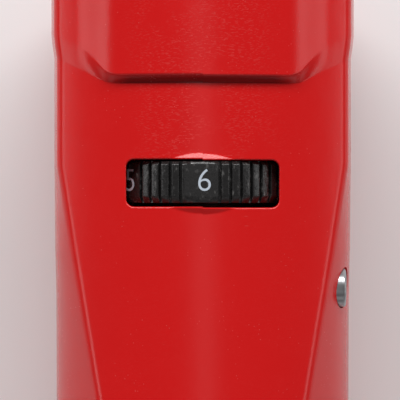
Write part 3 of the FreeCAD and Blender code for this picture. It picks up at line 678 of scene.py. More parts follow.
def make_red():
    """Glossy moulded shell: faint flow in the colour, dust specks, scuffs, fine lines, a soft peel and a
    painted shade under the hood's front edge.
    """
    red = bpy.context.scene.grinder_finish.red
    finish = Finish("red_shell", red, 0.22, ior=1.5, specular_ior_level=0.35)
    base = finish.mix(finish.noise(60, 3, 0.5, (1, 0.5, 1)), shade(red, 0.94), shade(red, 1.05))
    dust = (1 - finish.cells(1500).above(0.10, 0.06)) * finish.noise(220, 2, 0.6).above(0.56, 0.08)
    scuffs = 1 - finish.cells(700, (0.16, 1.6, 1)).above(0.045, 0.03)
    scuffs = scuffs * finish.noise(130, 2, 0.5).above(0.5, 0.1)
    marks = finish.node("ShaderNodeMath", {"operation": "MAXIMUM"},
                        [dust * 0.7, scuffs * 0.5 + rubbed_lines(finish) * 0.32])
    worn = finish.mix(marks * 0.5, base, (0.66, 0.12, 0.11, 1.0))
    # painted shade: the base colour is darkened towards 0.16 of the red in the corner under the hood's front
    # edge
    finish.feed(base_color=finish.mix(hood_grime(finish), worn, shade(red, 0.16)),
                roughness=finish.noise(400, 2, 0.5) * 0.08 + 0.18 + marks * 0.15)
    peel, fine = finish.noise(900, 2, 0.45), finish.noise(4200, 2, 0.5)
    finish.feed(normal=finish.bump(peel * 0.6 + fine * 0.25 - scuffs * 0.15, 0.00003, 0.7))
    return finish.material


def rubbed_lines(finish):
    """Fine lines across the shell, mostly where a thumb rubs it between the wheel and the hood."""
    half_width, behind_dial, elsewhere = 8.5, 2.0, 0.15
    across = 1 - finish.place_mm("X").size().above(half_width, 6.0)
    along = finish.place_mm("Y").above(DIAL_Y + behind_dial, 3.0)
    lines = finish.noise(5600, 2, 0.6, (0.3, 1.3, 1)).above(0.585, 0.06)
    patches = finish.noise(160, 2, 0.5).above(0.42, 0.12)
    return lines * patches * (across * along * (1 - elsewhere) + elsewhere)


def hood_grime(finish):
    """Share of painted shade in the corner under the hood's front edge, thinning out to both sides."""
    half_width, height, most = 11.3, 0.72, 0.8
    along = finish.place_mm("Y")
    middle = 1 - finish.place_mm("X").size().above(half_width, 4.6)
    ahead = along.above(HOOD_FRONT - 0.16, 0.16)
    behind = 1 - (along + (1 - middle) * 0.8).above(HOOD_FRONT + height, 0.75)
    return ahead * behind * middle * most


def make_wheel_black():
    """Black ridged moulding with worn, slightly grey high spots."""
    black = bpy.context.scene.grinder_finish.black
    finish = Finish("wheel_plastic", black, 0.4, ior=1.5)
    grain = finish.noise(2600, 3, 0.6)
    wear = finish.noise(1900, 3, 0.7, (1, 0.35, 1)).above(0.62, 0.12)
    finish.feed(base_color=finish.mix(wear, shade(black), (0.075, 0.072, 0.070, 1)),
                roughness=grain * 0.25 + 0.16,
                normal=finish.bump(grain, 0.00006, 0.8))
    return finish.material


def make_plain(name, colour, roughness, metallic=0.0, grain=1200.0, depth=0.00002, vary=0.08):
    """Plain finish with a little variation in its gloss and a fine grain."""
    finish = Finish(name, colour, roughness, metallic)
    patch = finish.noise(grain * 0.2, 3, 0.55)
    fine = finish.noise(grain, 2, 0.5)
    finish.feed(base_color=finish.mix(patch, shade(colour, 1 - vary), shade(colour, 1 + vary)),
                roughness=patch * 0.12 + max(0.05, roughness - 0.06),
                normal=finish.bump(fine, depth, 0.5))
    return finish.material


def make_brushed(name, colour, roughness, stretch=(1, 0.04, 1)):
    """Turned or drawn metal, with fine marks along one direction."""
    finish = Finish(name, colour, roughness, 1.0)
    marks = finish.noise(5200, 3, 0.6, stretch)
    finish.feed(roughness=marks * 0.22 + max(0.05, roughness - 0.1),
                base_color=finish.mix(marks, shade(colour, 0.85), shade(colour)),
                normal=finish.bump(marks, 0.000012, 0.6))
    return finish.material


def make_laminated(name, colour):
    """Stack of sheets across the spindle axis, seen as fine rings."""
    finish = Finish(name, colour, 0.5, 0.7)
    place = finish.node("ShaderNodeMapping", {}, {"Vector": finish.place, "Scale": (0, 1, 0)})
    sheets = finish.node("ShaderNodeTexWave", {"bands_direction": "Y"},
                         {"Vector": place, "Scale": 640.0}, "Fac")
    rust = finish.noise(300, 4, 0.6)
    finish.feed(base_color=finish.mix(sheets * 0.5 + rust * 0.3, shade(colour, 0.6), shade(colour)),
                normal=finish.bump(sheets, 0.00004, 0.7))
    return finish.material


def make_wound(name, colour):
    """Enamelled wire laid side by side."""
    finish = Finish(name, colour, 0.3, 0.6)
    wires = finish.node("ShaderNodeTexWave", {"bands_direction": "DIAGONAL"},
                        {"Vector": finish.place, "Scale": 420.0, "Distortion": 1.5}, "Fac")
    finish.feed(base_color=finish.mix(wires, shade(colour, 0.45), shade(colour)),
                normal=finish.bump(wires, 0.00015, 0.8))
    return finish.material


def make_finishes():
    """One material for each of the record's slots, by slot name."""
    black = tuple(bpy.context.scene.grinder_finish.black)
    return {
        "red_shell": make_red(),
        "wheel_plastic": make_wheel_black(),
        "soft_grip": make_plain("soft_grip", (0.014, 0.014, 0.015), 0.68, grain=2400, depth=0.00005),
        "black_plastic": make_plain("black_plastic", black, 0.42, grain=2600, depth=0.00004),
        "polymer": make_plain("polymer", (0.62, 0.60, 0.55), 0.45),
        "machined_steel": make_brushed("machined_steel", (0.56, 0.56, 0.57), 0.28),
        "screw_steel": make_brushed("screw_steel", (0.42, 0.42, 0.43), 0.32, (1, 1, 1)),
        "bearing_steel": make_brushed("bearing_steel", (0.66, 0.66, 0.68), 0.16),
        "spring_steel": make_plain("spring_steel", (0.5, 0.5, 0.5), 0.3, 1.0),
        "lamination": make_laminated("lamination", (0.30, 0.29, 0.29)),
        "enamelled_copper": make_wound("enamelled_copper", (0.48, 0.17, 0.06)),
        "copper": make_brushed("copper", (0.80, 0.42, 0.28), 0.3),
        "brass": make_brushed("brass", (0.74, 0.56, 0.26), 0.34, (0.1, 1, 1)),
        "carbon": make_plain("carbon", (0.035, 0.035, 0.038), 0.55, 0.2),
        "black_rubber": make_plain("black_rubber", (0.016, 0.016, 0.016), 0.72, grain=1800, depth=0.00004),
        "board": make_plain("board", (0.03, 0.17, 0.07), 0.35, grain=900),
        "sink_aluminium": make_brushed("sink_aluminium", (0.76, 0.76, 0.77), 0.38, (1, 1, 0.05)),
        "device_epoxy": make_plain("device_epoxy", (0.02, 0.02, 0.02), 0.5),
        "capacitor_case": make_plain("capacitor_case", (0.72, 0.50, 0.06), 0.3),
        "ferrite": make_plain("ferrite", (0.06, 0.06, 0.065), 0.6, 0.2),
        "resistor_body": make_plain("resistor_body", (0.58, 0.45, 0.28), 0.45),
        "label_plate": make_brushed("label_plate", (0.66, 0.66, 0.67), 0.36),
        "digit_ink": make_plain("digit_ink", tuple(bpy.context.scene.grinder_finish.digit), 0.5, grain=3000),
    }


FINISHES = {}


def dress(piece, body, slot, replaces=()):
    """Paint a finished piece, hide the frame nodes that it replaces and hang it on its body."""
    paint(piece, FINISHES[slot])
    if replaces:
        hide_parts(*replaces)
    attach(piece, body)
    return piece


# --- operators ----------------------------------------------------------------------------------
class GRINDER_OT_finishes(bpy.types.Operator):
    """Make the finishes and paint the frame's own nodes"""
    bl_idname = "grinder.finishes"
    bl_label = "Finishes"

    def execute(self, context):
        FINISHES.update(make_finishes())
        for part in frame["record"]["subparts"]:
            paint(frame["nodes"][part["node"]], FINISHES[part["material_slot"]])
        return {"FINISHED"}


class GRINDER_OT_shell(bpy.types.Operator):
    """Build both halves of the housing"""
    bl_idname = "grinder.shell"
    bl_label = "Shell"

    def execute(self, context):
        wall = context.scene.grinder_shell.wall
        inside = SHELL_REAR - REAR_WALL - SHELL_FRONT - FRONT_WALL
        hollow_rows = [(SHELL_FRONT + FRONT_WALL + inside * k / HOLLOW_ROWS, 0.0)
                       for k in range(HOLLOW_ROWS + 1)]
        for side, shift in (("right", -PARTING_MISMATCH), ("left", 0.0)):
            outer = half_solid(shell_rows(shift), OUTER_COLUMNS, shift, 0.0, 0.0)
            hollow = half_solid(hollow_rows, HOLLOW_COLUMNS, 0.0, -wall, -1.0, BELLY_Z + wall)
            cutters, window, neck = shell_cutters(side), window_cutter(shift), neck_mesh()
            if side == "left":
                outer, hollow, cutters, window, neck = map(mirrored, (outer, hollow, cutters, window, neck))
            piece = add_object("shell_" + side, *outer)
            for tool in (hollow, cutters, window):
                cut(piece, tool)
            join(piece, add_object("neck", *neck))
            dress(tidy_normals(piece, 28.0), "base", "red_shell", ["housing_" + side])
        return {"FINISHED"}


# station along the tool and height of each housing screw; the first two are under the grips
SCREWS = [
    (SPINDLE_BEARING[0].y - 4.0, 9.4), (SPINDLE_BEARING[0].y - 4.0, -9.4),
    (COUPLING[0].y + 8.5, 12.2), (COUPLING[0].y + 8.5, -12.2),
    (DIAL_Y - 14.0, 11.6), (DIAL_Y - 14.0, -13.2), (BOARD[1].y + 5.0, -13.4),
]
SCREW_SEAT_RADIUS, SCREW_SEAT_DEPTH = 2.75, 1.8
# vents in the housing's sides: first station, pitch, width, half height and number
FAN_VENTS = (FAN_BOX[0].y + 0.6, 2.2, 1.2, 8.5, 4)
BOARD_VENTS = (BOARD[1].y + 2.0, 3.0, 1.4, 7.0, 5)
VENT_INSIDE = 10
SWITCH_HALF_WIDTH, SWITCH_HALF_HEIGHT, GLAND_SEAT_RADIUS, REAR_CUT = 9.0, 7.0, 5.6, 4
BRUSH_CAP_DEPTH = 3.2
WELL_LOW, WELL_HIGH = 4, 40


def skin_x(y, z):
    """Half-width of the housing at a station and height, found along its side arcs."""
    poles, steps = section_poles(y, 0.0, 0.0, 0.0), 60
    points = [cubic(poles[arc], k / steps) for arc in (1, 2, 3) for k in range(steps + 1)]
    return min(points, key=lambda point: abs(point.y - z)).x


def neck_mesh():
    """Right half of the tube that the nose collar slides over."""
    inner, outer = 0.4, 0.5    # chamfers
    profile = [(NECK_BORE, NECK_FRONT + inner), (NECK_BORE + inner, NECK_FRONT),
               (NECK_RADIUS - outer, NECK_FRONT), (NECK_RADIUS, NECK_FRONT + outer),
               (NECK_RADIUS, NECK_END), (NECK_BORE, NECK_END)]
    points = []
    rows = 37
    for k in range(rows):
        angle = math.radians(5 * k - 90)
        points += [(r * math.cos(angle), y, r * math.sin(angle)) for r, y in profile]
    faces = grid_faces(rows, len(profile), close_columns=True)
    return points, faces + end_caps(rows, len(profile))


def shell_cutters(side):
    """Everything but the window that is taken out of one half, built as a right half."""
    parts = [
        bar_mesh(NECK_RADIUS - 0.1, (0, SHELL_FRONT - 1, 0), (0, SHELL_FRONT + 2.5, 0)),
        box_mesh((-PLATE[1].x, PLATE[0].y, PLATE[0].z - 1), PLATE[1]),
        bar_mesh(BUTTON_RADIUS + CUT_CLEARANCE, (0, BUTTON_Y, WELL_LOW), (0, BUTTON_Y, WELL_HIGH)),
    ]
    for start, pitch, width, half_height, count in (FAN_VENTS, BOARD_VENTS):
        for k in range(count):
            y = start + pitch * k
            parts.append(box_mesh((VENT_INSIDE, y, -half_height), (OUTSIDE, y + width, half_height)))
    cap = (CAP_BOX[1].z - CAP_BOX[0].z) / 2
    cap_y = CAP_BOX[0].y + cap
    parts.append(bar_mesh(cap + CUT_CLEARANCE, (CAP_BOX[1].x - BRUSH_CAP_DEPTH, cap_y, 0),
                          (OUTSIDE, cap_y, 0)))
    y0, y1 = SHELL_REAR - REAR_CUT, SHELL_REAR + REAR_CUT
    switch_z, gland_z = (SWITCH[0].z + SWITCH[1].z) / 2, (GLAND[0].z + GLAND[1].z) / 2
    parts.append(box_mesh((-SWITCH_HALF_WIDTH, y0, switch_z - SWITCH_HALF_HEIGHT),
                          (SWITCH_HALF_WIDTH, y1, switch_z + SWITCH_HALF_HEIGHT)))
    parts.append(bar_mesh(GLAND_SEAT_RADIUS, (0, y0, gland_z), (0, y1, gland_z)))
    if side == "right":
        for y, z in SCREWS:
            seat = skin_x(y, z) - SCREW_SEAT_DEPTH
            parts.append(bar_mesh(SCREW_SEAT_RADIUS, (seat, y, z), (OUTSIDE, y, z), 36))
    return merged(parts)


# --- pieces that repeat -------------------------------------------------------------------------
def repeat_tree():
    """Node tree that stands a piece on each point, turned as the point says and by chance about X."""
    tree = bpy.data.node_groups.new("stand_on_points", "GeometryNodeTree")
    tree.interface.new_socket("Geometry", in_out="INPUT", socket_type="NodeSocketGeometry")
    inputs = (("Piece", "Object"), ("Material", "Material"), ("Seed", "Int"), ("Chance turn", "Float"))
    for label, kind in inputs:
        tree.interface.new_socket(label, in_out="INPUT", socket_type="NodeSocket" + kind)
    tree.interface.new_socket("Geometry", in_out="OUTPUT", socket_type="NodeSocketGeometry")
    nodes, links = tree.nodes, tree.links
    given, result = nodes.new("NodeGroupInput"), nodes.new("NodeGroupOutput")
    info = nodes.new("GeometryNodeObjectInfo")
    info.transform_space = "ORIGINAL"
    links.new(given.outputs["Piece"], info.inputs["Object"])
    chance = nodes.new("FunctionNodeRandomValue")
    chance.data_type = "FLOAT"
    links.new(given.outputs["Chance turn"], chance.inputs[3])
    links.new(given.outputs["Seed"], chance.inputs["Seed"])
    about_x = nodes.new("ShaderNodeCombineXYZ")
    links.new(chance.outputs[1], about_x.inputs["X"])
    stated = nodes.new("GeometryNodeInputNamedAttribute")
    stated.data_type = "FLOAT_VECTOR"
    stated.inputs["Name"].default_value = "turn"
    total = nodes.new("ShaderNodeVectorMath")
    links.new(about_x.outputs[0], total.inputs[0])
    links.new(stated.outputs[0], total.inputs[1])
    rotation = nodes.new("FunctionNodeEulerToRotation")
    links.new(total.outputs[0], rotation.inputs[0])
    stand = nodes.new("GeometryNodeInstanceOnPoints")
    links.new(given.outputs["Geometry"], stand.inputs["Points"])
    links.new(info.outputs["Geometry"], stand.inputs["Instance"])
    links.new(rotation.outputs[0], stand.inputs["Rotation"])
    realise = nodes.new("GeometryNodeRealizeInstances")
    links.new(stand.outputs[0], realise.inputs[0])
    coat = nodes.new("GeometryNodeSetMaterial")
    links.new(realise.outputs[0], coat.inputs["Geometry"])
    links.new(given.outputs["Material"], coat.inputs["Material"])
    links.new(coat.outputs[0], result.inputs[0])
    return tree


def repeated(name, piece, places, slot, chance_turn=0.0, seed=7):
    """Copies of a piece at (point in millimetres, turn in radians), as one mesh; the piece is used up."""
    tree = bpy.data.node_groups.get("stand_on_points") or repeat_tree()
    carrier = add_object(name, [place for place, turn in places], [])
    turns = carrier.data.attributes.new("turn", "FLOAT_VECTOR", "POINT")
    for value, (place, turn) in zip(turns.data, places):
        value.vector = turn
    modifier = carrier.modifiers.new("stand", "NODES")
    modifier.node_group = tree
    named = {item.name: item.identifier for item in tree.interface.items_tree if item.in_out == "INPUT"}
    modifier[named["Piece"]] = piece
    modifier[named["Material"]] = FINISHES[slot]
    modifier[named["Seed"]] = seed
    modifier[named["Chance turn"]] = chance_turn
    apply_modifiers(carrier)
    bpy.data.objects.remove(piece)
    return tidy_normals(carrier)


class GRINDER_OT_screws(bpy.types.Operator):
    """Build the housing screws, with rounded heads and cross recesses"""
    bl_idname = "grinder.screws"
    bl_label = "Screws"

    def execute(self, context):
        screw = context.scene.grinder_fastener
        radius, crest, tip = screw.head_radius, screw.head_proud, -screw.length
        shank, edge, head = 1.5, 0.45, 2.0    # shank radius, edge rounding and head thickness
        profile = [(0.0, tip), (shank - 0.4, tip), (shank, tip + 0.8), (shank, crest - head)]
        profile += [(radius - 0.1, crest - head), (radius, crest - head + 0.1)]
        profile += arc_points(radius - edge, crest - edge, edge, 0, 80)
        profile += [(radius * 0.5, crest - 0.01), (0.0, crest)]
        piece = lathe("screw", profile, 48, "X")
        # the two blades of the cross, and the pit where they meet
        for half_y, half_z, deep in ((shank, 0.33, 1.1), (0.33, shank, 1.1), (0.8, 0.8, 0.5)):
            cut(piece, box_mesh((crest - deep, -half_y, -half_z), (crest + 1, half_y, half_z)))
        places = [((skin_x(y, z), y, z), (0, 0, 0)) for y, z in SCREWS]
        screws = repeated("screw_set", piece, places, "screw_steel", math.pi)
        dress(screws, "base", "screw_steel", ["housing_screws"])
        return {"FINISHED"}


class GRINDER_OT_nose(bpy.types.Operator):
    """Build the ribbed nose collar"""
    bl_idname = "grinder.nose"
    bl_label = "Nose collar"

    def execute(self, context):
        nose = context.scene.grinder_nose
        y0, y1 = COLLAR[0].y, COLLAR[1].y
        radius = (COLLAR[1].x - COLLAR[0].x) / 2
        skin = radius - nose.rib_height
        mouth, bore, lip_y = 7.0, NECK_RADIUS + 0.05, y1 - 15.0
        profile = [(mouth, lip_y), (mouth, y0 + 0.3), (mouth + 0.3, y0), (radius - 2.6, y0)]
        profile += arc_points(radius - 2.7, y0 + 0.5, 0.5, -80, -40, 4)
        profile += arc_points(skin - 1.2, y0 + 4.6, 1.2, -35, 0, 5)
        profile += [(skin, y1 - 2.2), (radius, y1 - 1.6)]
        profile += arc_points(radius - 0.6, y1 - 0.6, 0.6, 0, 90, 5)
        profile += [(bore, y1), (bore, lip_y)]
        body = lathe("nose_collar_ribbed", profile, 128)
        places, rib_y = [], (y0 + y1) / 2 + 0.9
        for k in range(nose.ribs):
            angle = 2 * math.pi * k / nose.ribs
            places.append(((skin * math.sin(angle), rib_y, skin * math.cos(angle)), (0, angle, 0)))
        bar = rib(nose.rib_height, nose.rib_width, y1 - y0 - 8.0)
        ribs = repeated("rib_ring", bar, places, "black_plastic")
        dress(join(body, ribs), "collar", "black_plastic", ["nose_collar"])
        return {"FINISHED"}


def rib(height, width, long):
    """Rounded rib along Y that stands on the XY plane, with its foot a little below it."""
    rows, columns, foot = 13, 9, -0.2
    points = []
    for i in range(rows):
        share = -1 + i / ((rows - 1) / 2)
        swell = max(0.02, 1 - abs(share) ** 6) ** 0.5
        for j in range(columns):
            angle = math.radians(180.0 / (columns - 1) * j)
            crown = height * swell * math.sin(angle) ** 0.7 if 0 < j < columns - 1 else foot
            points.append((width / 2 * swell * math.cos(angle), share * long / 2, crown))
    last = (rows - 1) * columns
    faces = grid_faces(rows, columns)
    faces += [tuple(range(columns))[::-1], tuple(range(last, last + columns))]
    left = tuple(columns * i for i in range(rows))
    right = tuple(columns * i + columns - 1 for i in range(rows))
    return tidy_normals(add_object("rib", points, faces + [left + right[::-1]]))


GRIP_COLUMNS, GRIP_ROWS, GRIP_UNDER = (20, 5, 18, 30), 180, -0.1
GRIP_BUTTON_HOLE, GRIP_SCREW_HOLE, GRIP_PLAIN_END = 4.9, 3.2, 4.0
BELOW_ALL = -100


def grip_row(stops, from_end, from_front):
    """Outer and inner outline of a grip at one row, at distances from its nearer and its front end."""
    grip = bpy.context.scene.grinder_grip
    y = GRIP_BOX[0].y + from_front
    end = min(from_end, grip.end_round) / grip.end_round
    full = grip.thickness * math.sqrt(max(0.0, 1 - (1 - end) ** 2))
    wave = smooth((math.cos(2 * math.pi * from_front / grip.groove_pitch) - 0.45) / 0.4)
    wave *= smooth((from_end - GRIP_PLAIN_END) / 0.6)
    outer = []
    for arc, share in stops:
        side_share = 0.0 if arc == 0 else (share if arc == 1 else 1.0)
        grow = max(0.02, full - grip.groove_depth * wave * side_share)
        outer.append(surface_point(arc, share, y, 0.0, 0.0, grow, BELOW_ALL))
    inner = [surface_point(arc, share, y, 0.0, 0.0, GRIP_UNDER, BELOW_ALL) for arc, share in stops]
    for loop in (outer, inner):
        loop[0].x = loop[-1].x = 0.0
    return outer + inner[::-1]


class GRINDER_OT_grips(bpy.types.Operator):
    """Build the soft grips, with rounded ends and grooved sides"""
    bl_idname = "grinder.grips"
    bl_label = "Grips"

    def execute(self, context):
        long = GRIP_BOX[1].y - GRIP_BOX[0].y
        stops = column_stops(GRIP_COLUMNS)
        columns = 2 * len(stops)
        for side in ("right", "left"):
            points = []
            for k in range(GRIP_ROWS + 1):
                along = long * k / GRIP_ROWS
                points += grip_row(stops, min(along, long - along), along)
            faces = grid_faces(GRIP_ROWS + 1, columns, close_columns=True)
            for start in (0, GRIP_ROWS * columns):
                for j in range(len(stops) - 1):
                    a, b = start + j, start + columns - 1 - j
                    faces.append((a, a + 1, b - 1, b))
            holes = [bar_mesh(GRIP_BUTTON_HOLE, (0, BUTTON_Y, WELL_LOW), (0, BUTTON_Y, WELL_HIGH))]
            holes += [bar_mesh(GRIP_SCREW_HOLE, (2, y, z), (OUTSIDE, y, z)) for y, z in SCREWS[:2]]
            solid, tool = (points, faces), merged(holes)
            if side == "left":
                solid, tool = mirrored(solid), mirrored(tool)
            piece = cut(add_object("grip_grooved_" + side, *solid), tool)
            dress(tidy_normals(piece, 40.0), "base", "soft_grip", ["grip_" + side])
        return {"FINISHED"}


def coil_mesh(box, turns, wire=0.2, steps=36, sides=10):
    """Round-wire helical spring about Z that fills a box."""
    radius, middle = (box[1].x - box[0].x) / 2 - wire, (box[0] + box[1]) / 2
    low, high, last = box[0].z + wire, box[1].z - wire, turns * steps
    points = []
    for k in range(last + 1):
        turn = 2 * math.pi * k / steps
        for i in range(sides):
            angle = 2 * math.pi * i / sides
            out = radius + wire * math.cos(angle)
            points.append((middle.x + out * math.cos(turn), middle.y + out * math.sin(turn),
                           low + (high - low) * k / last + wire * math.sin(angle)))
    faces = grid_faces(last + 1, sides, close_columns=True)
    ends = [tuple(range(sides))[::-1], tuple(range(last * sides, (last + 1) * sides))]
    return tidy_normals(add_object("lock_spring_coil", points, faces + ends))


class GRINDER_OT_button(bpy.types.Operator):
    """Build the lock button, dished and ringed on top, and the spring under it"""
    bl_idname = "grinder.button"
    bl_label = "Lock button"

    def execute(self, context):
        low, crest = BUTTON_BOX[0].z, BUTTON_BOX[1].z
        roof, bore, edge, dish_depth, ring_height, steps = 1.6, 2.3, 0.6, 0.45, 0.2, 32
        rim = BUTTON_RADIUS - edge
        profile = [(0.0, crest - roof), (bore, crest - roof), (bore, low), (BUTTON_RADIUS, low)]
        profile += arc_points(rim, crest - edge, edge, 0, 90)
        for k in range(1, steps + 1):
            r = rim * (1 - k / steps)
            dish = dish_depth * (1 - (r / rim) ** 2)
            ringed = 0.6 < r < 2.7
            wave = smooth((math.cos(math.pi * (r - 1.3) * 1.6) - 0.4) / 0.5)
            profile.append((r, crest - dish + ring_height * wave * ringed))
        piece = lathe("lock_button_dished", profile, 64, "Z")
        piece.data.transform(Matrix.Translation((0, BUTTON_Y * 0.001, 0)))
        dress(piece, "lock", "black_plastic", ["lock_button"])
        spring = dress(coil_mesh(SPRING_BOX, 4), "base", "spring_steel", ["lock_spring"])
        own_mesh(spring)
        return {"FINISHED"}


DIGIT_PITCH, FACET_HALF_ANGLE, FACET_STEPS = 45.0, 10.0, 8
GROOVE_PITCH, GROOVE_MARGIN, GROOVE_TURN = 5.9, 0.7, 1.3
LIP_WIDTH, LIP_DROP, GROOVE_WALL = 0.13, 0.12, 0.14


def groove_angles(digits):
    """Angles of the wheel's grooves, from its top towards -X."""
    angles = []
    for i in range(digits):
        start = DIGIT_PITCH * i + FACET_HALF_ANGLE + GROOVE_MARGIN
        stop = DIGIT_PITCH * (i + 1) if i < digits - 1 else 360.0
        span = stop - FACET_HALF_ANGLE - GROOVE_MARGIN - start
        count = max(1, round(span / GROOVE_PITCH))
        angles += [start + span * k / count + GROOVE_TURN for k in range(count + 1)]
    return angles


def groove_turns(width):
    """Half a groove and the rounded lip beside it, in degrees round the wheel."""
    return math.degrees(width / 2 / WHEEL_RADIUS), math.degrees(LIP_WIDTH / WHEEL_RADIUS)


def wheel_angles(wheel, grooves):
    """Angles of the wheel's columns: close together at the grooves, even over flats and plain rim."""
    half, lip = groove_turns(wheel.groove_width)
    stops = set()
    for angle in grooves:
        for step in (half + lip, half + lip * 0.55, half + lip * 0.2, half, half * 0.86, half * 0.4):
            stops |= {round(angle - step, 4), round(angle + step, 4)}
        stops.add(round(angle, 4))
    for k in range(wheel.digits):
        for s in range(-FACET_STEPS, FACET_STEPS + 1):
            stops.add(round(DIGIT_PITCH * k + FACET_HALF_ANGLE * s / FACET_STEPS, 4))
    dense = sorted(stop % 360 for stop in stops)
    widest, least = 1.2, 0.004
    angles = [dense[0]]
    for angle in dense[1:] + [dense[0] + 360]:
        gap = angle - angles[-1]
        if gap > widest:
            count = math.ceil(gap)
            angles += [angles[-1] + gap / count * k for k in range(1, count)]
        if gap > least and angle < dense[0] + 359.99:
            angles.append(angle)
    return angles


def rim_radius(angle, wheel, grooves):
    """Radius of the ridged rim at an angle."""
    half, lip = groove_turns(wheel.groove_width)
    r = WHEEL_RADIUS
    for k in range(wheel.digits):
        away = (angle - DIGIT_PITCH * k + 180) % 360 - 180
        if abs(away) < FACET_HALF_ANGLE:
            flat = WHEEL_RADIUS * math.cos(math.radians(FACET_HALF_ANGLE))
            r = min(r, flat / math.cos(math.radians(away)))
    for groove in grooves:
        away = abs((angle - groove + 180) % 360 - 180)
        if away < half:
            wall_share = smooth((half - away) / (half * GROOVE_WALL))
            r = min(r, WHEEL_RADIUS - LIP_DROP - (wheel.groove_depth - LIP_DROP) * wall_share)
        elif away < half + lip:
            t = (half + lip - away) / lip
            r = min(r, WHEEL_RADIUS - LIP_DROP * (1 - math.sqrt(max(0.0, 1 - t * t))))
    return r


class GRINDER_OT_wheel(bpy.types.Operator):
    """Build the speed wheel, with rounded ridges and a flat for each digit"""
    bl_idname = "grinder.wheel"
    bl_label = "Speed wheel"

    def execute(self, context):
        wheel = context.scene.grinder_wheel
        axis_z = frame_joint_z("wheel_turn")
        grooves = groove_angles(wheel.digits)
        angles = wheel_angles(wheel, grooves)
        front, rear = WHEEL_FRONT, WHEEL_REAR
        # station, and how far below the rim each edge of the wheel is rounded there
        limits = [(front, 0.56), (front + 0.05, 0.47), (front + 0.80, 0.06), (front + 0.88, 0.02)]
        limits.append((front + 1.0, 0.0))
        limits += [(front + 1.0 + (rear - front - 1.5) * k / 8, 0.0) for k in range(1, 9)]
        limits += [(rear - 0.42, 0.02), (rear - 0.36, 0.06), (rear - 0.06, 0.36), (rear, 0.46)]
        recess, hub, bore, web_y = 11.3, 4.0, 2.0, front + 1.4
        inner = [(recess, rear), (recess, web_y), (hub, web_y), (hub, web_y + 0.4),
                 (bore, web_y + 0.4), (bore, front)]
        points = []
        for angle in angles:
            turn = math.radians(90 + angle)
            rim = rim_radius(angle, wheel, grooves)
            loop = [(min(rim, WHEEL_RADIUS - less), y) for y, less in limits] + inner
            points += [(r * math.cos(turn), y, axis_z + r * math.sin(turn)) for r, y in loop]
        faces = ring_faces(len(angles), len(limits) + len(inner))
        piece = tidy_normals(add_object("speed_wheel_ridged", points, faces), 38.0)
        dress(piece, "wheel", "wheel_plastic", ["speed_wheel"])
        return {"FINISHED"}


def frame_joint_z(name):
    """Height of a joint's axis, in millimetres."""
    for joint in frame["record"]["behaviour"]["joints"]:
        if joint["name"] == name:
            return joint["pos_m"][2] * 1000.0
    raise ValueError("no joint " + name)


INK_HEIGHT = 0.000012     # metres
DIGIT_NUDGE = (0.00024, 0.00027)
DIGIT_NARROWING = 0.97


def digit_mesh(number):
    """Outline of a digit from the built-in font, in metres at any size."""
    curve = bpy.data.curves.new("digit", "FONT")
    curve.body = str(number)
    curve.align_x, curve.align_y = "CENTER", "CENTER"
    curve.size, curve.extrude, curve.offset = 0.004, INK_HEIGHT, -0.000045
    text = link("digit", curve)
    bpy.context.view_layer.update()
    mesh = bpy.data.meshes.new_from_object(text.evaluated_get(bpy.context.evaluated_depsgraph_get()))
    bpy.data.objects.remove(text)
    mesh.materials.clear()
    return mesh


class GRINDER_OT_digits(bpy.types.Operator):
    """Print a digit on each flat of the speed wheel"""
    bl_idname = "grinder.digits"
    bl_label = "Digits"

    def execute(self, context):
        wheel = context.scene.grinder_wheel
        axis = Vector((0, DIAL_Y, frame_joint_z("wheel_turn"))) * 0.001
        flat = WHEEL_RADIUS * math.cos(math.radians(FACET_HALF_ANGLE)) * 0.001
        for k in range(wheel.digits):
            number = wheel.digits - k
            mesh = digit_mesh(number)
            low = Vector([min(v.co[i] for v in mesh.vertices) for i in range(3)])
            high = Vector([max(v.co[i] for v in mesh.vertices) for i in range(3)])
            scale = wheel.digit_height * 0.001 / (high.y - low.y)
            turn = Matrix.Rotation(-math.radians(DIGIT_PITCH * k), 4, "Y")
            place = Matrix.Translation(axis) @ turn
            place = place @ Matrix.Translation(Vector((*DIGIT_NUDGE, flat + INK_HEIGHT)))
            place = place @ Matrix.Diagonal((scale * DIGIT_NARROWING, scale, 1, 1))
            mesh.transform(place @ Matrix.Translation(-(low + high) / 2))
            dress(link("digit_%d" % number, mesh), "wheel", "digit_ink")
        return {"FINISHED"}


# name, offset from the panel in metres, width and height in metres, and radiance
LIGHTS = [
    ("top_light", (0.01, -0.05, 0.75), (0.12, 0.90), 0.7),
    ("left_light", (-0.90, 0.05, 0.42), (1.1, 0.22), 2.7),
    ("right_light", (0.90, 0.05, 0.42), (1.1, 0.22), 2.2),
    ("rear_light", (0.0, 0.80, 0.60), (1.7, 0.26), 11.5),
    ("front_light", (0.0, -0.90, 0.42), (1.6, 0.3), 0.5),
]
AIR_LIGHT = 0.12
CAMERA_SIDE, CAMERA_AHEAD = -0.35, -2.33    # where the camera stands over the middle of the dial


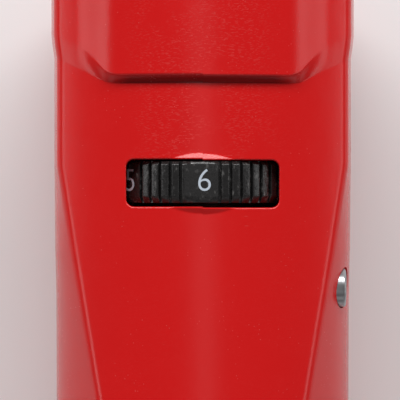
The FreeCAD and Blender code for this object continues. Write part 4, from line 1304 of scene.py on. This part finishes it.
class GRINDER_OT_stage(bpy.types.Operator):
    """Lay the floor, hang the lights and place the camera"""
    bl_idname = "grinder.stage"
    bl_label = "Stage"

    def execute(self, context):
        scene = context.scene
        studio = scene.grinder_studio
        reach = 3000.0
        corners = [(-reach, -reach), (reach, -reach), (reach, reach), (-reach, reach)]
        floor = add_object("floor", [(x, y, BELLY_Z) for x, y in corners], [(0, 1, 2, 3)])
        paint(floor, make_plain("floor_paper", (0.80, 0.80, 0.80), 0.9, grain=300, depth=0.0, vary=0.01))
        panel = Vector((0, DIAL_Y, scene.grinder_shell.top)) * 0.001
        for name, offset, (width, height), radiance in LIGHTS:
            data = bpy.data.lights.new(name, "AREA")
            data.shape, data.size, data.size_y = "RECTANGLE", width, height
            data.energy = radiance * math.pi * width * height * studio.light
            lamp = link(name, data)
            lamp.location = panel + Vector(offset)
            lamp.rotation_euler = (-Vector(offset)).to_track_quat("-Z", "Y").to_euler()
        scene.world = bpy.data.worlds.new("studio_air")
        scene.world.use_nodes = True
        air = scene.world.node_tree.nodes["Background"].inputs
        air["Color"].default_value = (1, 1, 1, 1)
        air["Strength"].default_value = AIR_LIGHT
        scene.view_settings.view_transform = "Standard"
        data = bpy.data.cameras.new("camera")
        data.sensor_width = 36.0
        data.lens = data.sensor_width * studio.distance / studio.frame_width
        data.clip_start, data.clip_end = 0.01, 20.0
        camera = link("camera", data)
        camera.location = panel + Vector((CAMERA_SIDE, CAMERA_AHEAD, studio.distance)) * 0.001
        camera.rotation_euler = (0, 0, 0)
        scene.camera = camera
        return {"FINISHED"}


class GRINDER_PT_panel(bpy.types.Panel):
    """Lists the grinder's settings and pieces"""
    bl_idname = "GRINDER_PT_panel"
    bl_label = "Rotary grinder"
    bl_space_type = "VIEW_3D"
    bl_region_type = "UI"
    bl_category = "Grinder"

    def draw(self, context):
        for name, settings in GROUPS.items():
            box = self.layout.box()
            box.label(text=settings.__name__)
            for key in settings.__annotations__:
                box.prop(getattr(context.scene, name), key)
        for operator in OPERATORS:
            self.layout.operator(operator.bl_idname)


OPERATORS = (GRINDER_OT_finishes, GRINDER_OT_shell, GRINDER_OT_grips, GRINDER_OT_nose, GRINDER_OT_button,
             GRINDER_OT_screws, GRINDER_OT_wheel, GRINDER_OT_digits, GRINDER_OT_stage)


def register():
    for group in (*GROUPS.values(), *OPERATORS, GRINDER_PT_panel):
        bpy.utils.register_class(group)
    for name, group in GROUPS.items():
        setattr(bpy.types.Scene, name, PointerProperty(type=group))


def unregister():
    for name in GROUPS:
        delattr(bpy.types.Scene, name)
    for group in (GRINDER_PT_panel, *OPERATORS[::-1], *GROUPS.values()):
        bpy.utils.unregister_class(group)


def main():
    register()
    bpy.context.view_layer.update()
    for operator in OPERATORS:
        category, name = operator.bl_idname.split(".")
        getattr(getattr(bpy.ops, category), name)()


if __name__ == "__main__":
    main()
